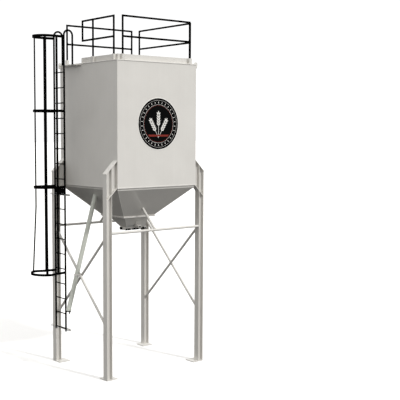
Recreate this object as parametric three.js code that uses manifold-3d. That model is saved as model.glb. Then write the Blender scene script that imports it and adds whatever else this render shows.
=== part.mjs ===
// A square steel storage bin with a pyramid hopper, standing on four wide-flange legs.
// Caged ladder on the left side (-X), handrails round the roof. Millimetres, +Z up.
// The front faces -Y. Sizes are given from the bin's own axis, at ground level, and the last
// lines move the whole to its origin, at ground level in the middle of the footprint.
import * as THREE from 'three';
import { mergeVertices } from 'three/addons/utils/BufferGeometryUtils.js';
import Module from 'manifold-3d';

const wasm = await Module();
wasm.setup();

// Driving dimensions
const binHalf = 990.5; // half of the 1981 mm (6 ft 6 in) square bin, outside
const wallBottom = 3728;
const wallTop = 6150;
const plate = 6.35; // quarter-inch plate
const gap = 0.3; // clearance between welded or fitted neighbours

const ringThick = 16; // flat ring under the walls
const ringOut = 5;
const ringWide = 65;

const hopperTopHalf = 968;
const lipTop = wallBottom - ringThick - gap;
const hopperLip = 40; // upright lip of the hopper plates, under the ring
const hopperTop = lipTop - hopperLip; // where the plates bend into the slope
const flangeTop = 3092;
const flangeThick = 26;
const flangeHalf = 406;

const neckTopHalf = 289;
const neckBottomHalf = 105;
const neckTop = flangeTop - flangeThick - gap;
const neckBottom = 2835;

const gateLeft = -135;
const gateRight = 414;
const gateHalf = 105;
const gateTop = neckBottom - gap;
const gateBottom = 2775;
const outletHalf = 80;

const chuteFrontTop = -255;
const chuteFrontBottom = -150;
const chuteRear = -20;
const chuteLeft = 67;
const chuteRight = 340;
const chuteBottom = 2838;
const spoutX = 100;
const spoutZ = 2852;
const spoutEnd = -280;
const spoutRadius = 36;

const legOuter = 1237; // outer flange face, from the middle
const legDepth = 127; // 5 in wide-flange section
const legWide = 127;
const legFront = 975; // outer edge of the flanges, from the middle
const legFlange = 9.1;
const legWeb = 6.1;
const legCapTop = 4005; // height of the sloped cap at the outer flange
const basePlate = 254;
const baseThick = 16;

const tubeRadius = 25.4; // 2 in round tube for the beams and braces
const beamY = 947;
const beamZ = 2857;
const braceCross = 1947; // height where the braces cross
const stayX = -30;

const deckThick = 6;
const topRing = 12;
const topRingOut = 14;
const deckTop = wallTop + topRing + deckThick;
const kerbTop = 6276; // top of the sockets and toe boards
const railPlane = 961;
const railPost = 841;
const railTop = 6990;
const railMid = 6605;
const railRadius = 19;
const socketSize = 58;
const lugReach = 75; // two lifting lugs on the roof rim
const lugBottom = 6085;
const lugTop = 6205;
const hatchHalf = 305;
const hatchHigh = 70;

const ladderX = -1310.5;
const ladderFar = 726;
const ladderNear = 359;
const ladderFoot = 750;
const ladderTop = 6060; // the hooped returns stand on the rails here
const ladderRadius = 19;
const returnX = -1110;
const returnTop = 6811;
const rungPitch = 304.8; // 12 in
const rungFirst = 802;
const rungCount = 18;
const rungRadius = 11;

const bracketLow = 770;
const bracketHigh = 3530;

const cageHeights = [1963, 3698, 5213, 6673];
const cageDepth = 571;
const cageFlare = 75.5; // how much wider the lowest hoop's bow is than the others
const flareTop = 3300; // the outer bars are straight above this height
const hoopHigh = 50;
const cageBar = 50;
const cageThick = 6;
const cageSideX = 201;
const cageHalf = 232;
const bowSteps = 16;
const bowMiddle = cageDepth - cageHalf; // out from the ladder
const outerBarTurn = 5.5 * Math.PI / bowSteps; // from straight out to the middle of a flat

const pipeRadius = 44.5;
const pipeWall = 4;
const couplingTop = 1302;
const couplingBottom = 1246;
const couplingWall = 9;
const clampHalf = 20;

// Paints
const greyPaint = { color: 0xd5d2cb, roughness: 0.5, metalness: 0.05 };
const blackPaint = { color: 0x0c0c0d, roughness: 0.45, metalness: 0.05 };
const pipePaint = { color: 0xb9bcb0, roughness: 0.45, metalness: 0.1 };
const signPaint = { color: 0x151516, roughness: 0.4, metalness: 0 };

const silo = new THREE.Group();

function put(name, geometry, paint = greyPaint) {
  const mesh = new THREE.Mesh(geometry, new THREE.MeshStandardMaterial(paint));
  mesh.name = name;
  silo.add(mesh);
  return mesh;
}

// Shapes

function box(x0, x1, y0, y1, z0, z1) {
  const geometry = new THREE.BoxGeometry(x1 - x0, y1 - y0, z1 - z0);
  geometry.translate((x0 + x1) / 2, (y0 + y1) / 2, (z0 + z1) / 2);
  return geometry;
}

function outline(points) {
  return new THREE.Shape(points.map(([a, b]) => new THREE.Vector2(a, b)));
}

const axisX = new THREE.Vector3(1, 0, 0);
const axisY = new THREE.Vector3(0, 1, 0);
const axisZ = new THREE.Vector3(0, 0, 1);

// A shape in the XY plane, raised along Z
function raise(shape, z0, z1) {
  const geometry = new THREE.ExtrudeGeometry(shape, { depth: z1 - z0, bevelEnabled: false });
  geometry.translate(0, 0, z0);
  return geometry;
}

// An outline of (x, z) points, run along Y
function runAlongY(points, y0, y1) {
  const geometry = raise(outline(points), 0, y1 - y0);
  geometry.applyMatrix4(new THREE.Matrix4().makeBasis(axisX, axisZ, axisY.clone().negate()));
  geometry.translate(0, y1, 0);
  return geometry;
}

// An outline of (y, z) points, run along X
function runAlongX(points, x0, x1) {
  const geometry = raise(outline(points), 0, x1 - x0);
  geometry.applyMatrix4(new THREE.Matrix4().makeBasis(axisY, axisZ, axisX));
  geometry.translate(x0, 0, 0);
  return geometry;
}

// A rod or tube between two points
function rod(from, to, radius, sides = 12, turn = 0) {
  const start = new THREE.Vector3(...from);
  const end = new THREE.Vector3(...to);
  const along = end.clone().sub(start);
  const geometry = new THREE.CylinderGeometry(radius, radius, along.length(), sides);
  geometry.rotateY(turn);
  geometry.applyQuaternion(new THREE.Quaternion().setFromUnitVectors(axisY, along.normalize()));
  const middle = start.add(end).multiplyScalar(0.5);
  geometry.translate(middle.x, middle.y, middle.z);
  return geometry;
}

// A closed solid between a square at z0 and a square at z1, each given by its half width
function frustum(half0, z0, half1, z1) {
  const geometry = new THREE.CylinderGeometry(half1 * Math.SQRT2, half0 * Math.SQRT2, z1 - z0, 4);
  geometry.rotateY(Math.PI / 4);
  geometry.rotateX(Math.PI / 2);
  geometry.translate(0, 0, (z0 + z1) / 2);
  return geometry;
}

// Joining and cutting

function solid(geometry) {
  const bare = geometry.clone();
  bare.deleteAttribute('normal');
  bare.deleteAttribute('uv');
  const merged = mergeVertices(bare, 1e-3);
  return new wasm.Manifold(new wasm.Mesh({
    numProp: 3,
    vertProperties: new Float32Array(merged.attributes.position.array),
    triVerts: new Uint32Array(merged.index.array),
  }));
}

function geometryOf(manifold) {
  const mesh = manifold.getMesh();
  const geometry = new THREE.BufferGeometry();
  geometry.setAttribute('position', new THREE.BufferAttribute(new Float32Array(mesh.vertProperties), 3));
  geometry.setIndex(new THREE.BufferAttribute(new Uint32Array(mesh.triVerts), 1));
  geometry.computeVertexNormals();
  return geometry;
}

function join(...geometries) {
  return geometryOf(geometries.map(solid).reduce((all, next) => all.add(next)));
}

function cut(geometry, ...tools) {
  return geometryOf(tools.map(solid).reduce((rest, tool) => rest.subtract(tool), solid(geometry)));
}

// Bin walls: front and rear run corner to corner, left and right fit between them
function walls() {
  const inner = binHalf - plate - gap;
  put('front_wall', box(-binHalf, binHalf, -binHalf, -binHalf + plate, wallBottom, wallTop));
  put('rear_wall', box(-binHalf, binHalf, binHalf - plate, binHalf, wallBottom, wallTop));
  put('left_wall', box(-binHalf, -binHalf + plate, -inner, inner, wallBottom, wallTop));
  put('right_wall', box(binHalf - plate, binHalf, -inner, inner, wallBottom, wallTop));
}

function squareRing(outerHalf, innerHalf, z0, z1) {
  const ring = outline([[-outerHalf, -outerHalf], [outerHalf, -outerHalf], [outerHalf, outerHalf], [-outerHalf, outerHalf]]);
  ring.holes.push(outline([[-innerHalf, -innerHalf], [-innerHalf, innerHalf], [innerHalf, innerHalf], [innerHalf, -innerHalf]]));
  return raise(ring, z0, z1);
}

// Flat ring that the walls stand on and the hopper hangs from
function baseRing() {
  const out = binHalf + ringOut;
  put('base_ring', squareRing(out, out - ringWide, wallBottom - ringThick, wallBottom - gap));
}

// One plate of the hopper, sloping below its upright lip and mitred to its neighbours; the
// others are turned copies
function hopperPlate() {
  const bottomHalf = hopperTopHalf - (hopperTop - flangeTop - gap);
  const inset = plate * Math.SQRT2;
  const bottom = flangeTop + gap;
  // Up the outside, over the lip and down the inside
  const profile = [
    [bottomHalf, bottom], [hopperTopHalf, hopperTop], [hopperTopHalf, lipTop],
    [hopperTopHalf - plate, lipTop], [hopperTopHalf - plate, hopperTop + inset - plate],
    [bottomHalf - inset, bottom],
  ];
  const corners = profile.flatMap(([half, z]) => [[gap - half, -half, z], [half - gap, -half, z]]);
  const faces = profile.map((_, i) => {
    const next = (i + 1) % profile.length;
    return [2 * i, 2 * i + 1, 2 * next + 1, 2 * next];
  });
  // The mitred ends, slope and lip, left before right
  faces.push([10, 0, 2, 8], [8, 2, 4, 6], [1, 11, 9, 3], [3, 9, 7, 5]);
  const geometry = new THREE.BufferGeometry();
  geometry.setAttribute('position', new THREE.BufferAttribute(new Float32Array(corners.flat()), 3));
  geometry.setIndex(faces.flatMap(([a, b, c, d]) => [a, b, c, a, c, d]));
  geometry.computeVertexNormals();
  return geometry;
}

function hopper() {
  const names = ['hopper_front', 'hopper_right', 'hopper_rear', 'hopper_left'];
  names.forEach((name, turn) => {
    const mesh = put(name, hopperPlate());
    mesh.rotation.z = turn * Math.PI / 2;
  });
}

// Outlet: bolted flange, small lower hopper, the chute round its front right corner with the
// spout, and the slide gate
function outlet() {
  const flangeBottom = flangeTop - flangeThick;
  put('outlet_flange', squareRing(flangeHalf, neckTopHalf - plate, flangeBottom, flangeTop));

  const neckWall = 8;
  const outer = frustum(neckBottomHalf, neckBottom, neckTopHalf, neckTop);
  const slope = (neckTopHalf - neckBottomHalf) / (neckTop - neckBottom);
  const reach = 20;
  const inner = frustum(
    neckBottomHalf - neckWall - slope * reach, neckBottom - reach,
    neckTopHalf - neckWall + slope * reach, neckTop + reach);
  put('lower_hopper', cut(outer, inner));

  const body = box(gateLeft, gateRight, -gateHalf, gateHalf, gateBottom, gateTop);
  const mouthDeep = 28;
  const mouth = box(
    -outletHalf, outletHalf, -outletHalf, outletHalf, gateBottom - reach, gateBottom + mouthDeep);
  put('slide_gate', cut(body, mouth), blackPaint);

  const chuteTop = neckTop - 12;
  const around = frustum(
    neckBottomHalf + gap * 2 - slope * reach, neckBottom - reach,
    neckTopHalf + gap * 2 + slope * reach, neckTop + reach);
  const chute = cut(runAlongX([
    [chuteFrontBottom, chuteBottom], [chuteRear, chuteBottom],
    [chuteRear, chuteTop], [chuteFrontTop, chuteTop],
  ], chuteLeft, chuteRight), around);
  const spout = rod(
    [spoutX, chuteFrontBottom + 2, spoutZ], [spoutX, spoutEnd, spoutZ], spoutRadius, 16);
  put('side_chute', join(chute, spout));
}

// Legs: wide-flange sections with a sloped top, flanges facing left and right.
// Built for the rear right corner and mirrored by sx and sy.
const corners = [
  ['front_left', -1, -1], ['front_right', 1, -1], ['rear_left', -1, 1], ['rear_right', 1, 1],
];
const legInner = legOuter - legDepth;
const legBack = legFront - legWide;
const legMiddle = (legFront + legBack) / 2;
const capThick = 12;
const capOver = 6; // the cap stands out past the outer flange
const capDrop = capThick * Math.SQRT2;

function mirrored(geometry, sx, sy) {
  geometry.scale(sx, sy, 1);
  if (sx * sy < 0) {
    const flipped = geometry.index ? geometry : mergeVertices(geometry, 1e-4);
    const index = flipped.index.array;
    for (let i = 0; i < index.length; i += 3) {
      [index[i], index[i + 1]] = [index[i + 1], index[i]];
    }
    flipped.computeVertexNormals();
    return flipped;
  }
  return geometry;
}

function bare(geometry) {
  geometry.deleteAttribute('normal');
  geometry.deleteAttribute('uv');
  return mergeVertices(geometry, 1e-3);
}

// Height of the cap's top face over a point x from the middle
function capHeight(x) {
  return legCapTop + (legOuter - x);
}

// Height of the lower sloped plate's top face over a point x from the middle
function shelfHeight(x) {
  return wallBottom + 2 - (x - binHalf);
}

function legSolid() {
  const innerLip = legInner + legFlange;
  const outerLip = legOuter - legFlange;
  const webLow = legMiddle - legWeb / 2;
  const webHigh = legMiddle + legWeb / 2;
  const profile = outline([
    [legInner, legBack], [innerLip, legBack], [innerLip, webLow], [outerLip, webLow],
    [outerLip, legBack], [legOuter, legBack], [legOuter, legFront], [outerLip, legFront],
    [outerLip, webHigh], [innerLip, webHigh], [innerLip, legFront], [legInner, legFront],
  ]);
  const column = raise(profile, baseThick + gap, legCapTop + legDepth);
  const beyond = 50;
  const cutIn = legInner - beyond;
  const cutOut = legOuter + beyond;
  const above = runAlongY([
    [cutIn, capHeight(cutIn) - capDrop - gap], [cutOut, capHeight(cutOut) - capDrop - gap],
    [cutOut, legCapTop + 400], [cutIn, legCapTop + 400],
  ], legBack - beyond, legFront + beyond);
  const low = innerLip - 2;
  const high = outerLip + 2;
  const stiffener = runAlongY([
    [low, shelfHeight(low) - capDrop], [high, shelfHeight(high) - capDrop],
    [high, shelfHeight(high)], [low, shelfHeight(low)],
  ], legBack + 2, legFront - 2);
  return solid(column).subtract(solid(above)).add(solid(stiffener));
}

// Bracket between the leg and the bin: sloped cap, sloped shelf and the web between them
function bracketSolid() {
  const wall = binHalf + gap;
  const outerEnd = legOuter + capOver;
  const cap = runAlongY([
    [wall, capHeight(wall) - capDrop], [outerEnd, capHeight(outerEnd) - capDrop],
    [outerEnd, capHeight(outerEnd)], [wall, capHeight(wall)],
  ], legBack - 2, legFront + 2);
  const inner = legInner + 2;
  const shelfWall = wall + ringOut;
  const shelf = runAlongY([
    [shelfWall, shelfHeight(shelfWall) - capDrop], [inner, shelfHeight(inner) - capDrop],
    [inner, shelfHeight(inner)], [shelfWall, shelfHeight(shelfWall)],
  ], legBack, legFront);
  const web = runAlongY([
    [wall, wallBottom + 6], [shelfWall, wallBottom + 6], [shelfWall, shelfHeight(shelfWall) - 4],
    [inner, shelfHeight(inner) - 4],
    [inner, capHeight(inner) - capDrop + 4], [wall, capHeight(wall) - capDrop + 4],
  ], legMiddle - 5, legMiddle + 5);
  return solid(cap).add(solid(shelf)).add(solid(web));
}

function legs() {
  for (const [where, sx, sy] of corners) {
    put(`leg_${where}`, mirrored(geometryOf(legSolid().add(bracketSolid())), sx, sy));
    const foot = box(legOuter - basePlate, legOuter, legFront - basePlate, legFront, 0, baseThick);
    put(`base_plate_${where}`, mirrored(bare(foot), sx, sy));
  }
}

// Beams: round tubes between the legs, front and rear, near the flange edges
function beams() {
  const reach = legInner - gap;
  put('front_beam', rod([-reach, -beamY, beamZ], [reach, -beamY, beamZ], tubeRadius, 16));
  put('rear_beam', rod([-reach, beamY, beamZ], [reach, beamY, beamZ], tubeRadius, 16));
}

// Crossed tube braces between the legs, left and right. They meet the webs between the
// flanges, and the outer one passes the inner one side by side.
const flangeMiddle = (legInner + legOuter) / 2;
const braceOuterX = flangeMiddle + tubeRadius + gap / 2;
const braceInnerX = flangeMiddle - tubeRadius - gap / 2;

function brace(x, rise, radius = tubeRadius) {
  const end = legMiddle - legWeb / 2 - gap;
  const long = end + 60;
  const tube = rod([x, -long, braceCross - rise * long], [x, long, braceCross + rise * long], radius, 16);
  const beyond = [-1, 1].map((side) => box(
    x - 100, x + 100, Math.min(side * end, side * (end + 200)), Math.max(side * end, side * (end + 200)), 0, 4000));
  return cut(tube, ...beyond);
}

function braces() {
  for (const [side, sx] of [['left', -1], ['right', 1]]) {
    put(`${side}_brace_outer`, mirrored(brace(braceOuterX, 1), sx, 1));
    put(`${side}_brace_inner`, mirrored(brace(braceInnerX, -1), sx, 1));
  }
}

// Fill pipe: from the left face of the hopper, down and out past the braces
const pipeTop = [-811, 0, 3551];
const pipeEnd = [-1485, 0, 1241];

function alongPipe(z) {
  const t = (pipeTop[2] - z) / (pipeTop[2] - pipeEnd[2]);
  return [pipeTop[0] + t * (pipeEnd[0] - pipeTop[0]), 0, z];
}

function hopperEnvelope() {
  const bottomHalf = hopperTopHalf - (hopperTop - flangeTop);
  return frustum(bottomHalf + 0.6, flangeTop, hopperTopHalf + 0.6, hopperTop);
}

function fillPipe() {
  const inside = alongPipe(3640);
  const wall = rod(inside, pipeEnd, pipeRadius, 16);
  const bore = rod(alongPipe(3700), alongPipe(1200), pipeRadius - pipeWall, 16);
  put('fill_pipe', geometryOf(solid(wall).subtract(solid(hopperEnvelope())).subtract(solid(bore))), pipePaint);

  const collar = rod(alongPipe(couplingTop), alongPipe(couplingBottom), pipeRadius + couplingWall, 16);
  const hole = rod(alongPipe(couplingTop + 50), alongPipe(couplingBottom - 50), pipeRadius + gap, 16);
  put('pipe_coupling', cut(collar, hole), pipePaint);

  const band = rod(
    alongPipe(braceCross + clampHalf), alongPipe(braceCross - clampHalf), pipeRadius + 7, 16);
  const centre = alongPipe(braceCross);
  const block = box(
    centre[0], -braceOuterX, -30, 30, braceCross - clampHalf + 1, braceCross + clampHalf - 1);
  const through = rod(alongPipe(braceCross + 120), alongPipe(braceCross - 120), pipeRadius + gap, 16);
  const beside = mirrored(brace(braceOuterX, 1, tubeRadius + gap), -1, 1);
  put('pipe_clamp', cut(join(band, block), through, beside));
}

// Stay tube, square to a hopper plate and down to the middle of the beam below it; side is -1
// at the front and 1 at the rear
function stay(name, side) {
  const run = (beamY - beamZ + hopperTop - hopperTopHalf) / 2; // from the beam up to the plate
  const at = (rise) => [stayX, side * (beamY - rise), beamZ + rise];
  const tube = rod(at(tubeRadius / 2), at(run + 2 * tubeRadius), tubeRadius, 16);
  const beam = rod([-beamY, side * beamY, beamZ], [beamY, side * beamY, beamZ], tubeRadius + gap, 16);
  put(name, cut(tube, beam, hopperEnvelope()));
}

// Roof: rim ring, deck with the handrail sockets welded on, hatch and toe boards
const railPosts = [
  [-railPlane, -railPost], [-railPlane, -150],
  [-railPost, -railPlane], [railPost, -railPlane],
  [railPlane, -railPost], [railPlane, railPost],
  [-railPost, railPlane], [railPost, railPlane],
];

function roof() {
  const rim = binHalf + topRingOut;
  const ring = squareRing(rim, rim - 80, wallTop + gap, wallTop + topRing);
  const lugs = [[-1, 1], [1, -1]].map(([sx, sy]) => {
    const lug = box(binHalf + gap, binHalf + lugReach, 935, 947, lugBottom, lugTop);
    const eyeX = binHalf + lugReach - 26;
    const eyeZ = lugTop - 24;
    const eye = rod([eyeX, 925, eyeZ], [eyeX, 957, eyeZ], 11);
    return mirrored(cut(lug, eye), sx, sy);
  });
  put('roof_rim', join(ring, ...lugs));
  const deck = box(-binHalf, binHalf, -binHalf, binHalf, wallTop + topRing + gap, deckTop);
  const half = socketSize / 2;
  const sockets = railPosts.map(([x, y]) => box(x - half, x + half, y - half, y + half, deckTop - 2, kerbTop));
  const bores = railPosts.map(([x, y]) => rod(
    [x, y, deckTop + 4], [x, y, kerbTop + 20], railRadius + gap, 12));
  put('roof_deck', cut(join(deck, ...sockets), ...bores));

  put('roof_hatch', box(
    -hatchHalf, hatchHalf, -hatchHalf, hatchHalf, deckTop + gap, deckTop + hatchHigh));

  const board = railPlane - half - gap;
  const low = deckTop + gap;
  put('toe_board_front', box(-board, board, -board, -board + plate, low, kerbTop));
  put('toe_board_left', box(-board, -board + plate, -board + plate + gap, 300, low, kerbTop));
  put('toe_board_right', box(board - plate, board, -board + plate + gap, board, low, kerbTop));
}

// Handrails: round tube sections standing in the sockets
function handrail(name, low, high, posts, place, end = null) {
  const pieces = [
    rod([low, 0, railTop], [high, 0, railTop], railRadius, 12, Math.PI / 12),
    rod([low, 0, railMid], [high, 0, railMid], railRadius, 12, Math.PI / 12),
  ];
  for (const x of posts) {
    pieces.push(rod([x, 0, deckTop + 5], [x, 0, railTop + railRadius - 1], railRadius - 0.4, 12));
  }
  if (end !== null) {
    pieces.push(rod([end, 0, railMid - 2], [end, 0, railTop + railRadius - 1], railRadius - 0.4, 12));
  }
  const mesh = put(name, join(...pieces), blackPaint);
  place(mesh);
}

function handrails() {
  const ends = railRadius - 1;
  handrail('handrail_front', -railPost - ends, railPost + ends, [-railPost, railPost], (mesh) => {
    mesh.position.y = -railPlane;
  });
  handrail('handrail_rear', -railPost - ends, railPost + ends, [-railPost, railPost], (mesh) => {
    mesh.position.y = railPlane;
  });
  handrail('handrail_right', -railPost - ends, railPost + ends, [-railPost, railPost], (mesh) => {
    mesh.rotation.z = Math.PI / 2;
    mesh.position.x = railPlane;
  });
  handrail('handrail_left', -railPost - ends, 213 + ends, [-railPost, -150], (mesh) => {
    mesh.rotation.z = Math.PI / 2;
    mesh.position.x = -railPlane;
  }, 213);
}

// A rail's hooped end: up, over in a half circle and down to the landing plate
const landingTop = wallTop - 12;

function ladderReturn(y) {
  const radius = (returnX - ladderX) / 2;
  const springing = returnTop - radius;
  const points = [new THREE.Vector3(ladderX, y, ladderTop + gap)];
  const steps = 10;
  for (let i = 0; i <= steps; i += 1) {
    const angle = Math.PI * (1 - i / steps);
    points.push(new THREE.Vector3(
      ladderX + radius + radius * Math.cos(angle), y, springing + radius * Math.sin(angle)));
  }
  points.push(new THREE.Vector3(returnX, y, landingTop + gap));
  const lengths = [];
  for (let i = 1; i < points.length; i += 1) {
    const along = points[i].clone().sub(points[i - 1]).normalize();
    const from = points[i - 1].clone().addScaledVector(along, i > 1 ? -2 : 0);
    const to = points[i].clone().addScaledVector(along, i < points.length - 1 ? 2 : 0);
    lengths.push(rod(from.toArray(), to.toArray(), ladderRadius, 12));
  }
  return join(...lengths);
}

// Ladder: tube rails joined by rungs, with hooped returns down to the landing plate
function ladder() {
  const rails = [ladderFar, ladderNear].map((y) => rod(
    [ladderX, y, ladderFoot], [ladderX, y, ladderTop], ladderRadius, 12));
  const rungs = [];
  for (let i = 0; i < rungCount; i += 1) {
    const z = rungFirst + i * rungPitch;
    rungs.push(rod([ladderX, ladderNear, z], [ladderX, ladderFar, z], rungRadius, 8));
  }
  const splice = box(ladderX - 5, ladderX + 5, ladderNear, ladderFar, 3532, 3690);
  put('ladder', join(...rails, ...rungs, splice), blackPaint);

  for (const [name, y] of [['ladder_return_far', ladderFar], ['ladder_return_near', ladderNear]]) {
    put(name, ladderReturn(y), blackPaint);
  }

  put('landing_plate', box(
    returnX - 32, -binHalf - gap, ladderNear - 130, ladderFar + 80, landingTop - 10, landingTop));
  // Flat bars from the rear left leg that carry the ladder
  for (const [name, z] of [['ladder_bracket_low', bracketLow], ['ladder_bracket_high', bracketHigh]]) {
    const bar = box(-legOuter - 10, -legOuter - gap, ladderNear - 75, legFront, z - 20, z + 20);
    const arms = [ladderFar, ladderNear].map((y) => box(
      ladderX + ladderRadius + gap, -legOuter - 9, y - 14, y + 14, z - 14, z + 14));
    put(name, join(bar, ...arms));
  }
}

// Safety cage: flat hoops round the climber, and four upright bars inside them. The hoops run
// straight past the two side bars and then round a bow, which is wider on the lowest hoop.
function hoopOutline(flare, offset) {
  const rail = (ladderFar - ladderNear) / 2 + ladderRadius + gap + offset;
  const side = cageHalf + offset;
  const bow = side + flare;
  const arm = [[0, rail], [cageSideX - cageBar, side]];
  if (flare > 0) arm.push([cageSideX + 33, side]);
  const skipped = flare > 0 ? 1 : 0;
  const points = arm.map(([out, across]) => [out, -across]);
  for (let i = skipped; i <= bowSteps - skipped; i += 1) {
    const angle = -Math.PI / 2 + Math.PI * i / bowSteps;
    points.push([bowMiddle + bow * Math.cos(angle), bow * Math.sin(angle)]);
  }
  return [...points, ...arm.reverse()];
}

// A bar on a flat of the bow, set out below flareTop to meet the lowest hoop
function outerBar(side, low, high) {
  const seat = gap + 0.5; // the bar's edges reach past the flat
  const flat = Math.cos(Math.PI / (2 * bowSteps));
  const face = cageHalf * flat - seat;
  const faceLow = (cageHalf + cageFlare) * flat - seat;
  const flareLow = cageHeights[0] + hoopHigh / 2;
  const bar = runAlongY([
    [faceLow - cageThick, low], [faceLow, low], [faceLow, flareLow], [face, flareTop],
    [face, high], [face - cageThick, high], [face - cageThick, flareTop],
    [faceLow - cageThick, flareLow],
  ], -cageBar / 2, cageBar / 2);
  return bar.rotateZ(Math.PI - side * outerBarTurn);
}

function cage() {
  const middle = (ladderFar + ladderNear) / 2;
  cageHeights.forEach((z, level) => {
    const flare = level === 0 ? cageFlare : 0;
    const outside = hoopOutline(flare, cageThick);
    const inside = hoopOutline(flare, 0).reverse();
    const ring = [...outside, ...inside].map(([out, side]) => [ladderX - out, middle + side]);
    put(`cage_hoop_${level + 1}`, raise(outline(ring), z - hoopHigh / 2, z + hoopHigh / 2), blackPaint);
  });

  const low = cageHeights[0] - hoopHigh / 2;
  const high = cageHeights[3] + hoopHigh / 2;
  const sideX = ladderX - cageSideX;
  for (const [end, side] of [['far', 1], ['near', -1]]) {
    const face = cageHalf - gap;
    const bar = box(sideX - cageBar / 2, sideX + cageBar / 2, face - cageThick, face, low, high);
    put(`cage_bar_${end}`, mirrored(bare(bar), 1, side).translate(0, middle, 0), blackPaint);
    const outer = outerBar(side, low, high).translate(ladderX - bowMiddle, middle, 0);
    put(`cage_bar_outer_${end}`, outer, blackPaint);
  }
}

// Round sheet sign on the front wall
function sign() {
  const disc = new THREE.CylinderGeometry(500, 500, 3, 48);
  disc.translate(11, 0, 0);
  const mesh = put('round_sign', disc, signPaint);
  mesh.position.set(0, -binHalf - gap - 1.5, 4956);
}

walls();
baseRing();
hopper();
outlet();
legs();
beams();
braces();
fillPipe();
stay('front_stay', -1);
stay('rear_stay', 1);
roof();
handrails();
ladder();
cage();
sign();

const reachLeft = -ladderX + cageDepth + cageFlare + cageThick;
const reachRight = legOuter + capOver;
silo.position.x = (reachLeft - reachRight) / 2;

export default silo;
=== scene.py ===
# Looks of a square steel storage bin with a pyramid hopper, on four braced legs.
# Metres, +Z up, the front towards -Y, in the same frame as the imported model.
import math

import bmesh
import bpy
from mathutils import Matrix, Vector
from mathutils.geometry import tessellate_polygon


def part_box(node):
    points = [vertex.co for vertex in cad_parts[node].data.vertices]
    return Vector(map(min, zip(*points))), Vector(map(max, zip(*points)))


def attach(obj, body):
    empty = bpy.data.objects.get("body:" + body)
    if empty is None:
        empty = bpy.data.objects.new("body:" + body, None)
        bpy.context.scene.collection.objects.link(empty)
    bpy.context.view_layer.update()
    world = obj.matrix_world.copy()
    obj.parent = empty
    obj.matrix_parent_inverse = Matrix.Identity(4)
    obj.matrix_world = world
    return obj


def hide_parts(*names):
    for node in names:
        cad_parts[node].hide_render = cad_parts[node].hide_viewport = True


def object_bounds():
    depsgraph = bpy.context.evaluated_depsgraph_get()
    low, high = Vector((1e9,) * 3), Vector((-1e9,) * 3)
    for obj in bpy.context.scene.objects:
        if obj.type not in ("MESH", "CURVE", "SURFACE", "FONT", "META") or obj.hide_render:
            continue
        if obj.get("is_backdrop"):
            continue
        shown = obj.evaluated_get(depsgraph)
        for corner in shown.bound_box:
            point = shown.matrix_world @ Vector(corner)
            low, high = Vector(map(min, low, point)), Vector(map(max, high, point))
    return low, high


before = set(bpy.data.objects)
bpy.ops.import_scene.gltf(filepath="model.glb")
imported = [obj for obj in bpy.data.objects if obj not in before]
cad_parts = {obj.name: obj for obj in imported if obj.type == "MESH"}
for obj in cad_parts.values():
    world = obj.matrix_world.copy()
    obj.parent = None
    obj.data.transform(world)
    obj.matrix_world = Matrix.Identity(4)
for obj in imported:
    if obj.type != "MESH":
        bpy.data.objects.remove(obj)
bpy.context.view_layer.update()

# Camera
# A long lens on a high stand, some 17 m off the bin's near corner, as in the photograph.
# The object stands left of the picture's middle, so the lens is shifted sideways.
scene = bpy.context.scene
MM = 0.001
front_low, front_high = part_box("front_wall")
bin_middle = (front_low.x + front_high.x) / 2
PHOTO_SIDE = 400
FOCAL_PIXELS = 846.1
SHIFT_PIXELS = (60, 6.25)
SENSOR = 36
CAMERA_FROM_BIN = (-10.556, -13.961, 4.767)
CAMERA_DIP = 4.916
CAMERA_TURN = -37.929
lens = bpy.data.cameras.new("camera")
lens.sensor_width = SENSOR
lens.lens = FOCAL_PIXELS / PHOTO_SIDE * SENSOR
lens.shift_x = SHIFT_PIXELS[0] / PHOTO_SIDE
lens.shift_y = SHIFT_PIXELS[1] / PHOTO_SIDE
camera = bpy.data.objects.new("camera", lens)
camera.location = (bin_middle + CAMERA_FROM_BIN[0], *CAMERA_FROM_BIN[1:])
camera.rotation_euler = (math.radians(90 - CAMERA_DIP), 0, math.radians(CAMERA_TURN))
scene.collection.objects.link(camera)
scene.camera = camera
scene.view_settings.view_transform = "Standard"


# Studio
# White surroundings down to the horizon, less light from below, more of it from the front right,
# and one soft lamp high at the front, so that the hopper's undersides stay in its shade.
def link_up(tree, node, links):
    """Links a node's sockets to outputs, or to the first output where a whole node is given."""
    for key, source in links.items():
        tree.links.new(getattr(source, "outputs", [source])[0], node.inputs[key])


def add_node(tree, kind, settings=None, links=None):
    """Adds a node, sets its properties and socket values, and links its sockets."""
    node = tree.nodes.new(kind)
    for key, value in (settings or {}).items():
        if isinstance(key, int) or key in node.inputs:
            node.inputs[key].default_value = value
        else:
            setattr(node, key, value)
    link_up(tree, node, links or {})
    return node


def linear(hex_colour):
    """A colour written as sRGB hex, as linear red, green, blue and alpha."""
    channels = [int(hex_colour[i:i + 2], 16) / 255 for i in (1, 3, 5)]
    return [c / 12.92 if c <= 0.04045 else ((c + 0.055) / 1.055) ** 2.4 for c in channels] + [1]


def new_material(name, fixed):
    """A material, its node tree and its shader, with the shader's fixed values set."""
    material = bpy.data.materials.new(name)
    material.use_nodes = True
    tree = material.node_tree
    shader = tree.nodes["Principled BSDF"]
    for socket, value in fixed.items():
        shader.inputs[socket].default_value = value
    return material, tree, shader


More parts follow.
